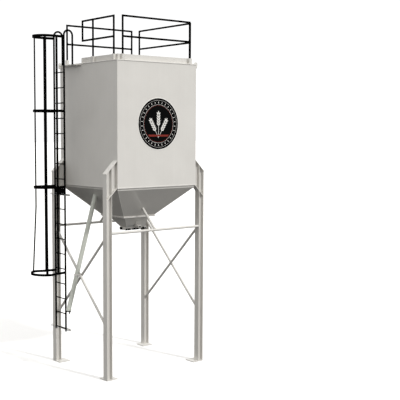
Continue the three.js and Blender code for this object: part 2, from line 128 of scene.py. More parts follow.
SKY_LEVEL = 1.08
GROUND_LEVEL = 0.056
GROUND_TILT = (0.25, -0.25, 0)
HORIZON_BLUR = 0.09
world = bpy.data.worlds.new("studio_surroundings")
world.use_nodes = True
scene.world = world
sky = world.node_tree
sky.nodes.clear()
direction = add_node(sky, "ShaderNodeTexCoord").outputs["Generated"]
height = add_node(sky, "ShaderNodeSeparateXYZ", links={0: direction})
above = add_node(sky, "ShaderNodeMapRange", {
    "interpolation_type": "SMOOTHSTEP", "From Min": -HORIZON_BLUR, "From Max": 0}, {
    "Value": height.outputs["Z"]})
slant = add_node(sky, "ShaderNodeVectorMath", {"operation": "DOT_PRODUCT", 1: GROUND_TILT}, {0: direction})
sunny_side = add_node(sky, "ShaderNodeMath", {"operation": "MAXIMUM", 1: 0}, {0: slant.outputs["Value"]})
ground = add_node(sky, "ShaderNodeMath", {"operation": "ADD", 1: GROUND_LEVEL}, {0: sunny_side})
strength = add_node(sky, "ShaderNodeMix", {3: SKY_LEVEL}, {0: above, 2: ground})
glow = add_node(sky, "ShaderNodeBackground", {"Color": linear("#ffffff")}, {"Strength": strength})
add_node(sky, "ShaderNodeOutputWorld", links={"Surface": glow})

LAMP_FROM = Vector((0.15, -0.68, 0.66))
LAMP_ENERGY = 1.76
LAMP_SPREAD = 5
lamp_data = bpy.data.lights.new("high_front_lamp", "SUN")
lamp_data.energy = LAMP_ENERGY
lamp_data.angle = math.radians(LAMP_SPREAD)
lamp = bpy.data.objects.new("high_front_lamp", lamp_data)
lamp.rotation_mode = "QUATERNION"
lamp.rotation_quaternion = LAMP_FROM.to_track_quat("Z", "Y")
scene.collection.objects.link(lamp)

FLOOR_REACH = 380
CORNERS = ((-1, -1), (1, -1), (1, 1), (-1, 1))
floor_mesh = bpy.data.meshes.new("studio_floor")
floor_mesh.from_pydata([(FLOOR_REACH * x, FLOOR_REACH * y, 0) for x, y in CORNERS], [], [(0, 1, 2, 3)])
floor_mesh.materials.append(new_material("pale_matt_floor_paint", {
    "Base Color": linear("#faf9f7"), "Roughness": 0.9, "Specular IOR Level": 0.1})[0])
studio_floor = bpy.data.objects.new("studio_floor", floor_mesh)
studio_floor.visible_diffuse = False
studio_floor.visible_glossy = False
scene.collection.objects.link(studio_floor)
studio_floor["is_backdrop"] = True


# Bin walls
# Four flat quarter-inch steel plates, welded at the corners, grit blasted, primed and sprayed
# with a pale warm grey top coat that keeps a fine orange peel and faint rain runs.
def sprayed_enamel(name, slot, coat, shade, roughness, gloss=0.5):
    """Top coat sprayed on blasted steel: satin, with orange peel, faint clouds and rain runs."""
    material, tree, shader = new_material(name, {"IOR": 1.5, "Specular IOR Level": gloss})
    place = add_node(tree, "ShaderNodeTexCoord").outputs["Object"]
    # Clouds about 700 mm across, where the coat is a little thicker or thinner
    clouds = add_node(tree, "ShaderNodeTexNoise", {"Scale": 1 / 0.7, "Detail": 3, "Roughness": 0.6}, {
        "Vector": place})
    # Rain runs 40 mm wide and 900 mm long
    squeeze = add_node(tree, "ShaderNodeMapping", {"Scale": (1 / 0.04, 1 / 0.04, 1 / 0.9)}, {"Vector": place})
    runs = add_node(tree, "ShaderNodeTexNoise", {"Scale": 1, "Detail": 3, "Roughness": 0.6}, {
        "Vector": squeeze})
    # Settled dust in specks of 8 mm, drawn coarser than the real 1 mm so that they show
    specks = add_node(tree, "ShaderNodeTexNoise", {"Scale": 1 / 0.008, "Detail": 2}, {"Vector": place})
    weather = add_node(tree, "ShaderNodeMath", {"operation": "MULTIPLY_ADD", 1: 0.3}, {0: runs, 2: clouds})
    uneven = add_node(tree, "ShaderNodeMath", {"operation": "MULTIPLY_ADD", 1: 0.3}, {0: specks, 2: weather})
    amount = add_node(tree, "ShaderNodeMapRange", {"From Min": 0.55, "From Max": 1.05}, {"Value": uneven})
    tint = add_node(tree, "ShaderNodeMix", {
        "data_type": "RGBA", 6: linear(coat), 7: linear(shade)}, {0: amount})
    satin = add_node(tree, "ShaderNodeMapRange", {
        "To Min": roughness - 0.05, "To Max": roughness + 0.08}, {"Value": runs})
    # Orange peel of 3 mm, a few hundredths of a millimetre deep
    peel = add_node(tree, "ShaderNodeTexNoise", {"Scale": 1 / 0.003, "Detail": 1}, {"Vector": place})
    relief = add_node(tree, "ShaderNodeBump", {"Strength": 0.3, "Distance": 0.00015}, {"Height": peel})
    link_up(tree, shader, {"Base Color": tint.outputs[2], "Roughness": satin, "Normal": relief})
    return material, slot


def repaint(finish, *names):
    """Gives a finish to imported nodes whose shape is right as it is."""
    for name in names:
        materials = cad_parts[name].data.materials
        materials.clear()
        materials.append(finish[0])


def loft(rings, closed=False):
    """Points and faces of a skin over rings of equal length, capped unless it closes on itself."""
    count = len(rings[0])
    points = [tuple(point) for ring in rings for point in ring]
    spans = len(rings) if closed else len(rings) - 1
    faces = []
    for i in range(spans):
        here = i * count
        there = (i + 1) % len(rings) * count
        for k in range(count):
            following = (k + 1) % count
            faces.append((here + k, here + following, there + following, there + k))
    if not closed:
        faces.append(tuple(range(count))[::-1])
        faces.append(tuple(range(spans * count, (spans + 1) * count)))
    return points, faces


SMOOTH_UNDER = math.radians(38)
EASED_OVER = math.radians(40)


def add_piece(name, shapes, finish, stands_for=(), eased=0):
    """One piece made of closed shapes, given in millimetres from the bin's axis at ground level.
    finish is its material and a slot name, which is not used; eased rounds the sharp edges by so many
    millimetres."""
    material, slot = finish
    points = []
    faces = []
    for shape_points, shape_faces in shapes:
        start = len(points)
        points += [(x * MM, y * MM, z * MM) for x, y, z in shape_points]
        faces += [[start + corner for corner in face] for face in shape_faces]
    mesh = bpy.data.meshes.new(name)
    mesh.from_pydata(points, [], faces)
    work = bmesh.new()
    work.from_mesh(mesh)
    bmesh.ops.recalc_face_normals(work, faces=work.faces)
    work.to_mesh(mesh)
    work.free()
    mesh.shade_smooth()
    mesh.set_sharp_from_angle(angle=SMOOTH_UNDER)
    mesh.materials.append(material)
    piece = bpy.data.objects.new(name, mesh)
    piece.location.x = bin_middle
    scene.collection.objects.link(piece)
    if eased:
        rounding = piece.modifiers.new("eased_edges", "BEVEL")
        rounding.width = eased * MM
        rounding.segments = 2
        rounding.limit_method = "ANGLE"
        rounding.angle_limit = EASED_OVER
    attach(piece, "root")
    if stands_for:
        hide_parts(*stands_for)


RIPPLE = 12  # real weld ripples are 2 or 3 mm long, drawn coarser so that they show
RIPPLE_SIZES = (0.92, 1.12)
THROAT = 0.6


def bead(start, end, section):
    """A weld bead with its ripples; section gives the bead's points from the corner at a size."""
    start = Vector(start)
    along = Vector(end) - start
    steps = 2 * max(1, round(along.length / RIPPLE))
    return loft([
        [start + along * (i / steps) + point for point in section(RIPPLE_SIZES[i % 2])]
        for i in range(steps + 1)])


def fillet(start, end, side_a, side_b, leg=6):
    """A fillet weld in the corner between two faces, a tenth of its leg sunk into it; the sides
    point along the faces, off the corner."""
    side_a = Vector(side_a).normalized()
    side_b = Vector(side_b).normalized()
    root = (side_a + side_b) * (-0.1 * leg)
    return bead(start, end, lambda size: [
        root, side_a * (leg * size), (side_a + side_b) * (leg * size * THROAT), side_b * (leg * size)])


def seam(start, end, back_a, back_b, wide, proud):
    """A corner weld, proud of two plates that meet at an outer corner; back_a and back_b point
    from the corner along the two plates."""
    back_a = Vector(back_a).normalized()
    back_b = Vector(back_b).normalized()
    out = -(back_a + back_b).normalized()
    return bead(start, end, lambda size: [
        back_a * wide + out * 0.1, back_a * wide * 0.5 + out * proud * size,
        out * proud * 1.5 * size, back_b * wide * 0.5 + out * proud * size,
        back_b * wide + out * 0.1, (back_a + back_b) * wide * 0.4])


def edge_seams(places, wide=7, proud=2):
    """Corner welds up the four edges of a square body, given as half widths and heights."""
    welds = []
    for sx, sy in CORNERS:
        edge = [(sx * half, sy * half, z) for half, z in places]
        for low, high in zip(edge, edge[1:]):
            welds.append(seam(low, high, (-sx, 0, 0), (0, -sy, 0), wide, proud))
    return welds


grey_enamel = sprayed_enamel("grey_enamel_on_blasted_steel", "grey_paint", "#d3d0ca", "#ccc9c3", 0.36)
repaint(grey_enamel, "front_wall", "rear_wall", "left_wall", "right_wall")

wall_bottom = front_low.z / MM
wall_top = front_high.z / MM
bin_half = (front_high.x - bin_middle) / MM
add_piece("wall_corner_welds", edge_seams([(bin_half, wall_bottom), (bin_half, wall_top)]), grey_enamel)


# Base ring
# A flat steel ring between the walls and the hopper, fillet welded to both from outside.
def span(node):
    """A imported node's lowest and highest corners, in millimetres from the bin's axis."""
    return [((corner.x - bin_middle) / MM, corner.y / MM, corner.z / MM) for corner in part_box(node)]


def around(half, height, side, leg=6, lean=0, middle=(0, 0)):
    """Fillet welds round a square of the given half width, above its ledge where side is 1 and
    below it where side is -1. lean is how far the welded face slopes outward."""
    welds = []
    for i, (sx, sy) in enumerate(CORNERS):
        next_x, next_y = CORNERS[(i + 1) % 4]
        out_x = (sx + next_x) / 2
        out_y = (sy + next_y) / 2
        welds.append(fillet(
            (middle[0] + sx * half, middle[1] + sy * half, height),
            (middle[0] + next_x * half, middle[1] + next_y * half, height),
            (out_x, out_y, 0), (out_x * lean, out_y * lean, side), leg))
    return welds


repaint(grey_enamel, "base_ring")
ring_high = span("base_ring")[1]
add_piece("base_ring_welds", around(bin_half, ring_high[2], 1, 4.4), grey_enamel)


# Hopper
# Four quarter-inch plates at 45 degrees with an upright lip, sprayed with the walls, welded along
# the four hips, under the base ring and on top of the outlet flange.
def levels(node):
    """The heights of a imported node's underside and top."""
    low, high = span(node)
    return low[2], high[2]


# The undersides get a glossier coat, darker than the walls' coat: the darker colour is painted shade
hopper_enamel_with_painted_shade = sprayed_enamel(
    "glossy_grey_enamel_darkened_as_painted_shade", "grey_paint", "#cecbc5", "#c7c4be", 0.1, 0.75)
repaint(hopper_enamel_with_painted_shade, "hopper_front", "hopper_rear", "hopper_left", "hopper_right")
HOPPER_TOP_HALF = 968
HOPPER_LIP = 40
hopper_bottom, lip_top = levels("hopper_front")
hopper_bend = lip_top - HOPPER_LIP
hopper_bottom_half = HOPPER_TOP_HALF - (hopper_bend - hopper_bottom)
hips = edge_seams([
    (hopper_bottom_half, hopper_bottom), (HOPPER_TOP_HALF, hopper_bend), (HOPPER_TOP_HALF, lip_top)], 8, 2.4)
foot_welds = around(hopper_bottom_half, hopper_bottom, 1, 7, 1)
add_piece("hopper_welds", around(HOPPER_TOP_HALF, lip_top, -1) + hips + foot_welds, grey_enamel)


# Outlet
# A pair of steel flanges bolted together on a rubber gasket, and under them a small lower
# hopper of welded plate.
def circle(across, up, radius, sides=24):
    turns = [2 * math.pi * k / sides for k in range(sides)]
    return [(across + radius * math.cos(a), up + radius * math.sin(a)) for a in turns]


def oblong(low, high):
    """The corners of a rectangle, from its lowest and highest places across and along."""
    return [(low[0], low[1]), (high[0], low[1]), (high[0], high[1]), (low[0], high[1])]


def square(half):
    return oblong((-half, -half), (half, half))


def cut_plate(outline, openings, low, high, place=None):
    """A flat plate with openings, from low to high; place(across, up, level) sets each point."""
    place = place or (lambda across, up, level: (across, up, level))
    loops = [outline] + list(openings)
    flat = [point for loop in loops for point in loop]
    count = len(flat)
    triangles = tessellate_polygon([[Vector((a, b, 0)) for a, b in loop] for loop in loops])
    points = [place(a, b, level) for level in (low, high) for a, b in flat]
    faces = [tuple(corners) for corners in triangles]
    faces += [tuple(corner + count for corner in corners) for corners in triangles]
    start = 0
    for loop in loops:
        for k in range(len(loop)):
            here = start + k
            there = start + (k + 1) % len(loop)
            faces.append((here, there, there + count, here + count))
        start += len(loop)
    return points, faces


def turned(profile, at, along, sides, closed=False):
    """A turned body: rings of the given radii and distances along an axis."""
    at = Vector(at)
    along = Vector(along).normalized()
    side = along.orthogonal().normalized()
    other = along.cross(side)
    turns = [2 * math.pi * k / sides for k in range(sides)]
    return loft([
        [at + along * reach + (side * math.cos(a) + other * math.sin(a)) * radius for a in turns]
        for radius, reach in profile], closed)


def bolt(at, along, thread=12):
    """A hexagon head on its washer, standing on a surface."""
    washer = [(thread, -1), (thread, 0.18 * thread)]
    corner = 0.92 * thread
    head = [(corner, 0.18 * thread), (corner, 0.72 * thread), (0.8 * thread, 0.83 * thread)]
    return [turned(washer, at, along, 20), turned(head, at, along, 6)]


def zinc_plated_steel(name, slot):
    """Bright zinc on rolled steel bolts: a metal dulled to a soft grey, with a faint spangle."""
    material, tree, shader = new_material(name, {"Metallic": 1})
    place = add_node(tree, "ShaderNodeTexCoord").outputs["Object"]
    # Crystals of 4 mm
    spangle = add_node(tree, "ShaderNodeTexVoronoi", {"Scale": 1 / 0.004}, {"Vector": place})
    tint = add_node(tree, "ShaderNodeMix", {
        "data_type": "RGBA", 6: linear("#b9bcbf"), 7: linear("#a3a6a8")}, {0: spangle})
    dull = add_node(tree, "ShaderNodeMapRange", {"To Min": 0.32, "To Max": 0.5}, {"Value": spangle})
    link_up(tree, shader, {"Base Color": tint.outputs[2], "Roughness": dull})
    return material, slot


def dusty_black(name, slot, coat, worn, gloss):
    """A grained black skin with dust in patches: brushed paint on sand-cast iron, or rubber that
    keeps the grain of its mould."""
    material, tree, shader = new_material(name, {"Roughness": 0.5, "Specular IOR Level": gloss})
    place = add_node(tree, "ShaderNodeTexCoord").outputs["Object"]
    # Grain of 1.5 mm
    grain = add_node(tree, "ShaderNodeTexNoise", {"Scale": 1 / 0.0015, "Detail": 2}, {"Vector": place})
    relief = add_node(tree, "ShaderNodeBump", {"Strength": 0.6, "Distance": 0.0004}, {"Height": grain})
    # Dust in patches of 60 mm
    dust = add_node(tree, "ShaderNodeTexNoise", {"Scale": 1 / 0.06, "Detail": 4}, {"Vector": place})
    amount = add_node(tree, "ShaderNodeMapRange", {"From Min": 0.5, "From Max": 0.8}, {"Value": dust})
    tint = add_node(tree, "ShaderNodeMix", {
        "data_type": "RGBA", 6: linear(coat), 7: linear(worn)}, {0: amount})
    link_up(tree, shader, {"Normal": relief, "Base Color": tint.outputs[2]})
    return material, slot


bolt_zinc = zinc_plated_steel("zinc_plated_bolt_steel", "grey_paint")
gasket_rubber = dusty_black("moulded_nitrile_rubber", "black_paint", "#1b1b1b", "#262524", 0.2)
PLATE = 6.35  # quarter-inch plate
FLANGE_HALF = 406
FLANGE_THICK = 11.5
BOLT_LINE = 378
BOLT_HOLE = 7
NECK_TOP_HALF = 289
NECK_BOTTOM_HALF = 105
flange_bottom, flange_top = levels("outlet_flange")
gasket_bottom = flange_bottom + FLANGE_THICK
gasket_top = flange_top - FLANGE_THICK
bolt_places = []
for step in (-1, -0.6, -0.2, 0.2, 0.6):
    a, b = BOLT_LINE * step, -BOLT_LINE
    bolt_places += [(a, b), (-b, a), (-a, -b), (b, -a)]
opening = square(NECK_TOP_HALF - PLATE)
flange_cuts = [opening] + [circle(a, b, BOLT_HOLE, 16) for a, b in bolt_places]
add_piece("outlet_flange_pair", [
    cut_plate(square(FLANGE_HALF), flange_cuts, low, high)
    for low, high in ((gasket_top, flange_top), (flange_bottom, gasket_bottom))],
    grey_enamel, ("outlet_flange",), 1)
add_piece("flange_gasket", [
    cut_plate(square(FLANGE_HALF - 3), [opening], gasket_bottom, gasket_top)], gasket_rubber)
flange_bolts = []
for a, b in bolt_places:
    flange_bolts += bolt((a, b, flange_bottom), (0, 0, -1))
add_piece("flange_bolts", flange_bolts, bolt_zinc)

# The lower hopper takes the hopper's darker coat, which is painted shade
repaint(hopper_enamel_with_painted_shade, "lower_hopper")
neck_bottom, neck_top = levels("lower_hopper")
neck_welds = edge_seams([(NECK_BOTTOM_HALF, neck_bottom), (NECK_TOP_HALF, neck_top)])
neck_welds += around(NECK_TOP_HALF, neck_top, -1, 5)
add_piece("lower_hopper_welds", neck_welds, grey_enamel)


# Side chute
# A box of folded plate over the lower hopper's front right corner, welded along its outer
# edges, with a sloped front and a short round spout low on it. A dark rubber plug in the
# spout stands in as painted shade for its recess.
# The chute takes the hopper's darker coat, which is painted shade
repaint(hopper_enamel_with_painted_shade, "side_chute")
CHUTE_X = (67, 340)
CHUTE_Z = (2838, 3053.7)
CHUTE_FRONT = (-150, -255)
CHUTE_REAR = (-20, -20)
chute_welds = [
    seam((x, y[0], CHUTE_Z[0]), (x, y[1], CHUTE_Z[1]), (side, 0, 0), (0, back, 0), 5, 1.5)
    for x, y, side, back in (
        (CHUTE_X[0], CHUTE_FRONT, 1, 1), (CHUTE_X[1], CHUTE_FRONT, -1, 1), (CHUTE_X[1], CHUTE_REAR, -1, -1))]
add_piece("side_chute_welds", chute_welds, grey_enamel)
SPOUT_X = 100
SPOUT_Z = 2852
SPOUT_RADIUS = 36
SPOUT_BORE = 26
spout_mouth = (SPOUT_X, span("side_chute")[0][1], SPOUT_Z)
spout_ring = turned([
    (SPOUT_RADIUS, 25), (SPOUT_RADIUS + 3, 25), (SPOUT_RADIUS + 3, -6), (SPOUT_RADIUS + 1, -8),
    (SPOUT_BORE, -8), (SPOUT_BORE, 25)], spout_mouth, (0, 1, 0), 40, True)
add_piece("chute_spout_ring", [spout_ring], grey_enamel, (), 0.6)
# A dark rubber plug in the bore: painted shade for the spout's recess
spout_plug_as_painted_shade = turned([(SPOUT_BORE, 4), (SPOUT_BORE, -3), (SPOUT_BORE - 4, -5)], spout_mouth, (0, 1, 0), 40)
add_piece("spout_plug_as_painted_shade", [spout_plug_as_painted_shade], gasket_rubber)


# Slide gate
# A cast iron gate bolted under the lower hopper: two ribbed rails between cross walls, with a
# steel blade in them and a pinion shaft across. Grey steel bars frame its top.
def box_between(low, high):
    (x0, y0, z0), (x1, y1, z1) = low, high
    return loft([[(x0, y0, z), (x1, y0, z), (x1, y1, z), (x0, y1, z)] for z in (z0, z1)])


gate_iron = dusty_black("black_painted_cast_iron", "black_paint", "#050505", "#161513", 0.05)
gate_low, gate_high = span("slide_gate")
gate_x = (gate_low[0], gate_high[0])
gate_z = (gate_low[2], gate_high[2])
GATE_HALF = 105
FRAME_BOTTOM = 2812
WEB_AT = GATE_HALF - 24
WEB_THICK = 8
RAIL_THICK = 9
CROSS_THICK = 12
RIB_THICK = 8
BAR_WIDE = 30
gate_shapes = []
frame_bars = []
for side in (-1, 1):
    inner, web, outer = side * (WEB_AT - WEB_THICK), side * WEB_AT, side * GATE_HALF
    rail = [
        (inner, gate_z[0]), (outer, gate_z[0]), (outer, gate_z[0] + RAIL_THICK),
        (web, gate_z[0] + RAIL_THICK), (web, FRAME_BOTTOM), (inner, FRAME_BOTTOM)]
    gate_shapes.append(loft([[(x, y, z) for y, z in rail] for x in gate_x]))
    y = sorted((inner, outer))
    frame_bars.append(box_between((gate_x[0], y[0], FRAME_BOTTOM), (gate_x[1], y[1], gate_z[1])))
for x in (gate_x[0], gate_x[1] - CROSS_THICK, GATE_HALF - 6):
    gate_shapes.append(box_between((x, -WEB_AT, gate_z[0] + 4), (x + CROSS_THICK, WEB_AT, FRAME_BOTTOM)))
    frame_bars.append(box_between(
        (x, -WEB_AT + WEB_THICK, FRAME_BOTTOM), (x + BAR_WIDE, WEB_AT - WEB_THICK, gate_z[1])))
for x in (gate_x[0] + 40, -GATE_HALF + 60, GATE_HALF - 20, gate_x[1] - 60):
    for side in (-1, 1):
        y = sorted((side * WEB_AT, side * (GATE_HALF - 2)))
        gate_shapes.append(box_between((x, y[0], gate_z[0] + 5), (x + RIB_THICK, y[1], FRAME_BOTTOM)))
gate_shapes.append(box_between((gate_x[0], 0, gate_z[0] + 16), (gate_x[0] + 34, GATE_HALF, gate_z[1] - 2)))
mouth = square(80)
frame_bars.append(cut_plate(square(GATE_HALF - 8), [mouth], gate_z[1] - 10, gate_z[1]))
lower_collar = cut_plate(square(GATE_HALF - 1), [mouth], gate_z[0], gate_z[0] + 10)
add_piece("slide_gate_body", gate_shapes + [lower_collar], gate_iron, ("slide_gate",), 1)
GUIDE_PLACES = (22, 232)
guides = [
    box_between((x - 20, -GATE_HALF - 3, gate_z[0] + 4), (x + 20, -WEB_AT, gate_z[0] + 34))
    for x in GUIDE_PLACES]
end_plate = box_between((gate_x[0] - 6, -GATE_HALF, gate_z[0] + 4), (gate_x[0], -6, FRAME_BOTTOM + 12))
add_piece("gate_frame_bars", frame_bars + guides + [end_plate], grey_enamel, (), 0.8)
blade_z = sum(gate_z) / 2
add_piece("gate_blade", [
    box_between((gate_x[0] + 14, -WEB_AT + 9, blade_z - 4), (gate_x[1] - 14, WEB_AT - 9, blade_z + 4))],
    bolt_zinc)
PINION_X = 330
shaft_z = blade_z - 8
pinion = [
    turned([(12, -1), (12, 2 * GATE_HALF + 18)], (PINION_X, -GATE_HALF - 9, shaft_z), (0, 1, 0), 24),
    turned([(16, -24), (26, -24), (26, 4), (24, 6), (16, 6)], (PINION_X, -GATE_HALF, shaft_z),
           (0, -1, 0), 32, True)]
add_piece("gate_pinion_shaft", pinion, gate_iron, (), 0.8)
BODY_BOLTS = (-70, 80, 150, 280, 380)
NECK_BOLTS = (-84, -40, 4, 48)
gate_bolts = []
for x in BODY_BOLTS:
    for side in (-1, 1):
        gate_bolts += bolt((x, side * WEB_AT, shaft_z), (0, side, 0), 9)
CLAMP_HEIGHT = 2868
neck_slope = (NECK_TOP_HALF - NECK_BOTTOM_HALF) / (neck_top - neck_bottom)
neck_out = NECK_BOTTOM_HALF + neck_slope * (CLAMP_HEIGHT - neck_bottom)
for x in NECK_BOLTS:
    gate_bolts += bolt((x, -neck_out, CLAMP_HEIGHT), (0, -1, -neck_slope), 11)
add_piece("gate_bolts", gate_bolts, bolt_zinc)


# Legs
# Wide-flange steel sections, 5 in by 5 in, with a sloped cap, a sloped shelf and a web plate
# welded to the bin's corner, and a drilled square base plate under each, flush at the corner.
LEG_OUTER = 1237
LEG_DEPTH = 127
LEG_FRONT = 975
LEG_FLANGE = 9.1
LEG_WEB = 6.1
ROOT_RADIUS = 8
CLEAR = 0.3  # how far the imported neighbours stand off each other
leg_inner = LEG_OUTER - LEG_DEPTH
leg_back = LEG_FRONT - LEG_DEPTH
leg_middle = (LEG_FRONT + leg_back) / 2
inner_lip = leg_inner + LEG_FLANGE
outer_lip = LEG_OUTER - LEG_FLANGE
CAP_THICK = 12
CAP_TOP = 4005
CAP_PROUD = 6
cap_drop = CAP_THICK * math.sqrt(2)
shelf_top = wall_bottom + 2


def root_corner(x, y, from_x, from_y, to_x, to_y):
    """The rolled radius in a corner of the section, from one side of it to the other."""
    arc = []
    for step in range(5):
        a = math.radians(22.5 * step)
        arc.append((
            x + ROOT_RADIUS * (from_x + to_x - to_x * math.cos(a) - from_x * math.sin(a)),
            y + ROOT_RADIUS * (from_y + to_y - to_y * math.cos(a) - from_y * math.sin(a))))
    return arc


def leg_section():
    web_low = leg_middle - LEG_WEB / 2
    web_high = leg_middle + LEG_WEB / 2
    return [
        (leg_inner, leg_back), (inner_lip, leg_back),
        *root_corner(inner_lip, web_low, 0, -1, 1, 0), *root_corner(outer_lip, web_low, -1, 0, 0, -1),
        (outer_lip, leg_back), (LEG_OUTER, leg_back), (LEG_OUTER, LEG_FRONT), (outer_lip, LEG_FRONT),
        *root_corner(outer_lip, web_high, 0, 1, -1, 0), *root_corner(inner_lip, web_high, 1, 0, 0, 1),
        (inner_lip, LEG_FRONT), (leg_inner, LEG_FRONT)]


def cap_height(x):
    return CAP_TOP + LEG_OUTER - x


def cap_under(x):
    return cap_height(x) - cap_drop


def shelf_height(x):
    return shelf_top - (x - bin_half)


def along_y(outline, y0, y1):
    """An outline of (x, z) points run between two y places."""
    return loft([[(x, y, z) for x, z in outline] for y in (y0, y1)])


def sloped_plate(height, x0, x1, y0, y1):
    """A 12 mm plate at 45 degrees whose top face follows height(x)."""
    return along_y([
        (x0, height(x0) - cap_drop), (x1, height(x1) - cap_drop), (x1, height(x1)), (x0, height(x0))], y0, y1)


def across_leg(x, z, side_a, side_b, leg=6):
    """A fillet weld from the back of the leg to its front."""
    return fillet((x, leg_back, z), (x, LEG_FRONT, z), side_a, side_b, leg)


def at_corner(shapes, sx, sy):
    """The shapes of the front right leg, mirrored to another corner."""
    return [([(x * sx, y * sy, z) for x, y, z in points], faces) for points, faces in shapes]


base_top = levels("base_plate_front_right")[1]
section = leg_section()
wall_face = bin_half + CLEAR
shelf_wall = ring_high[0]
inner_shelf = shelf_height(leg_inner)
WEB_PLATE_HALF = 5
leg_steel = [
    loft([[(x, y, base_top) for x, y in section], [(x, y, cap_under(x)) for x, y in section]]),
    sloped_plate(cap_height, wall_face, LEG_OUTER + CAP_PROUD, leg_back - 2, LEG_FRONT + 2),
    sloped_plate(shelf_height, shelf_wall, leg_inner, leg_back, LEG_FRONT),
    along_y([
        (wall_face, wall_bottom + 6), (shelf_wall, wall_bottom + 6),
        (shelf_wall, shelf_height(shelf_wall) - 4), (leg_inner, inner_shelf - 4),
        (leg_inner, cap_under(leg_inner) + 4), (wall_face, cap_under(wall_face) + 4),
    ], leg_middle - WEB_PLATE_HALF, leg_middle + WEB_PLATE_HALF)]
for y0, y1 in ((leg_back + 2, leg_middle - LEG_WEB / 2), (leg_middle + LEG_WEB / 2, LEG_FRONT - 2)):
    leg_steel.append(sloped_plate(shelf_height, inner_lip, outer_lip, y0, y1))

UP = (0, 0, 1)
DOWN = (0, 0, -1)
leg_welds = [across_leg(leg_inner, base_top, (-1, 0, 0), UP)]
for x, side in ((inner_lip, 1), (outer_lip, -1)):
    for y0, y1 in ((leg_back, leg_middle - 10), (leg_middle + 10, LEG_FRONT)):
        leg_welds.append(fillet((x, y0, base_top), (x, y1, base_top), (side, 0, 0), UP))
leg_welds += [
    fillet((leg_inner, leg_back, base_top), (LEG_OUTER, leg_back, base_top), (0, -1, 0), UP, 5),
    across_leg(LEG_OUTER, cap_under(LEG_OUTER), (1, 0, -1), DOWN, 5),
    across_leg(wall_face, cap_height(wall_face), (1, 0, -1), UP, 8),
    across_leg(leg_inner, inner_shelf, (-1, 0, 1), UP, 7),
    across_leg(leg_inner, inner_shelf - cap_drop, (-1, 0, 1), DOWN, 7)]
for side_y, shelf_end in ((-1, leg_back + 4), (1, LEG_FRONT - 4)):
    y = leg_middle + side_y * WEB_PLATE_HALF
    top = (wall_face, y, cap_under(wall_face))
    inner_top = (leg_inner, y, cap_under(leg_inner))
    leg_welds += [
        fillet((wall_face, y, wall_bottom + 8), top, (1, 0, 0), (0, side_y, 0)),
        fillet((leg_inner, y, inner_shelf), inner_top, (-1, 0, 0), (0, side_y, 0)),
        fillet(top, inner_top, (0, side_y, 0), (-1, 0, -1), 5)]
    for x, side in ((inner_lip, 1), (outer_lip, -1)):
        z = shelf_height(x)
        leg_welds.append(fillet((x, y, z), (x, shelf_end, z), (side, 0, -side), UP, 5))

# Anchor holes in the three corners of the base plate that the leg leaves free
BASE_SIDE = 254
HOLE_EDGE = 38
HOLE_RADIUS = 11
base_inner = (LEG_OUTER - BASE_SIDE, LEG_FRONT - BASE_SIDE)
holes = [
    circle(x, y, HOLE_RADIUS) for x, y in (
        (base_inner[0] + HOLE_EDGE, base_inner[1] + HOLE_EDGE),
        (base_inner[0] + HOLE_EDGE, LEG_FRONT - HOLE_EDGE),
        (LEG_OUTER - HOLE_EDGE, base_inner[1] + HOLE_EDGE))]
foot = cut_plate(oblong(base_inner, (LEG_OUTER, LEG_FRONT)), holes, 0, base_top)
LEG_NAMES = {"front_left": (-1, -1), "front_right": (1, -1), "rear_left": (-1, 1), "rear_right": (1, 1)}
for where, (sx, sy) in LEG_NAMES.items():
    add_piece(f"leg_steel_{where}", at_corner(leg_steel, sx, sy), grey_enamel, (f"leg_{where}",), 1.2)
    add_piece(f"leg_welds_{where}", at_corner(leg_welds, sx, sy), grey_enamel)
    add_piece(f"drilled_base_plate_{where}", at_corner([foot], sx, sy), grey_enamel,
              (f"base_plate_{where}",), 1.2)


# Beams, braces and stays
# Round steel tube, 2 in across, welded between the legs and from the beams up to the hopper.
# The braces cross side by side, clear of each other by a fraction of a millimetre.
def swept(path, section, up, end_face=None):
    """A bar of one section along a path, mitred at each turn. up stands square to the path; the
    ends are cut square to the path, or to end_face where that is given."""
    path = [Vector(point) for point in path]
    headings = [(after - before).normalized() for before, after in zip(path, path[1:])]
    up = Vector(up).normalized()
    rings = []
    for i, at in enumerate(path):
        heading = headings[min(i, len(headings) - 1)]
        mitre = heading
        if 0 < i < len(headings):
            mitre = (headings[i - 1] + heading).normalized()
        elif end_face:
            mitre = Vector(end_face).normalized()
            mitre *= math.copysign(1, mitre.dot(heading))
        across = up.cross(mitre).normalized() / abs(mitre.dot(heading))
        rings.append([at + across * a + up * b for a, b in section])
    return loft(rings)


def onto_plane(point, along, at, normal):
    """Slides a point along a direction onto the plane through another point."""
    return point - along * ((point - at).dot(normal) / along.dot(normal))


ROOT_SUNK = 0.6


def ring_weld(at, along, radius, normal=None, leg=5):
    """The fillet round a tube that stands on a face; along points off the face."""
    at = Vector(at)
    along = Vector(along).normalized()
    normal = along if normal is None else Vector(normal).normalized()
    side = along.orthogonal().normalized()
    other = along.cross(side)
    steps = 2 * max(8, round(math.pi * radius / RIPPLE))
    rings = []
    for k in range(steps):
        a = 2 * math.pi * k / steps
        out = side * math.cos(a) + other * math.sin(a)
        foot_point = onto_plane(at + out * radius, along, at, normal)
        flat = (out - normal * out.dot(normal)).normalized()
        size = leg * RIPPLE_SIZES[k % 2]
        rings.append([
            foot_point - (flat + along) * ROOT_SUNK, foot_point + flat * size,
            foot_point + (flat + along) * size * THROAT, foot_point + along * size])
    return loft(rings, True)


TUBE_RADIUS = 25.4
BEAM_Y = 947
tube_section = circle(0, 0, TUBE_RADIUS, 36)
beam_z = sum(levels("front_beam")) / 2
for where, side in (("front", -1), ("rear", 1)):
    ends = [(sx * leg_inner, side * BEAM_Y, beam_z) for sx in (-1, 1)]
    add_piece(f"{where}_beam_tube", [
        swept(ends, tube_section, UP),
        ring_weld(ends[0], (1, 0, 0), TUBE_RADIUS), ring_weld(ends[1], (-1, 0, 0), TUBE_RADIUS)],
        grey_enamel, (f"{where}_beam",))

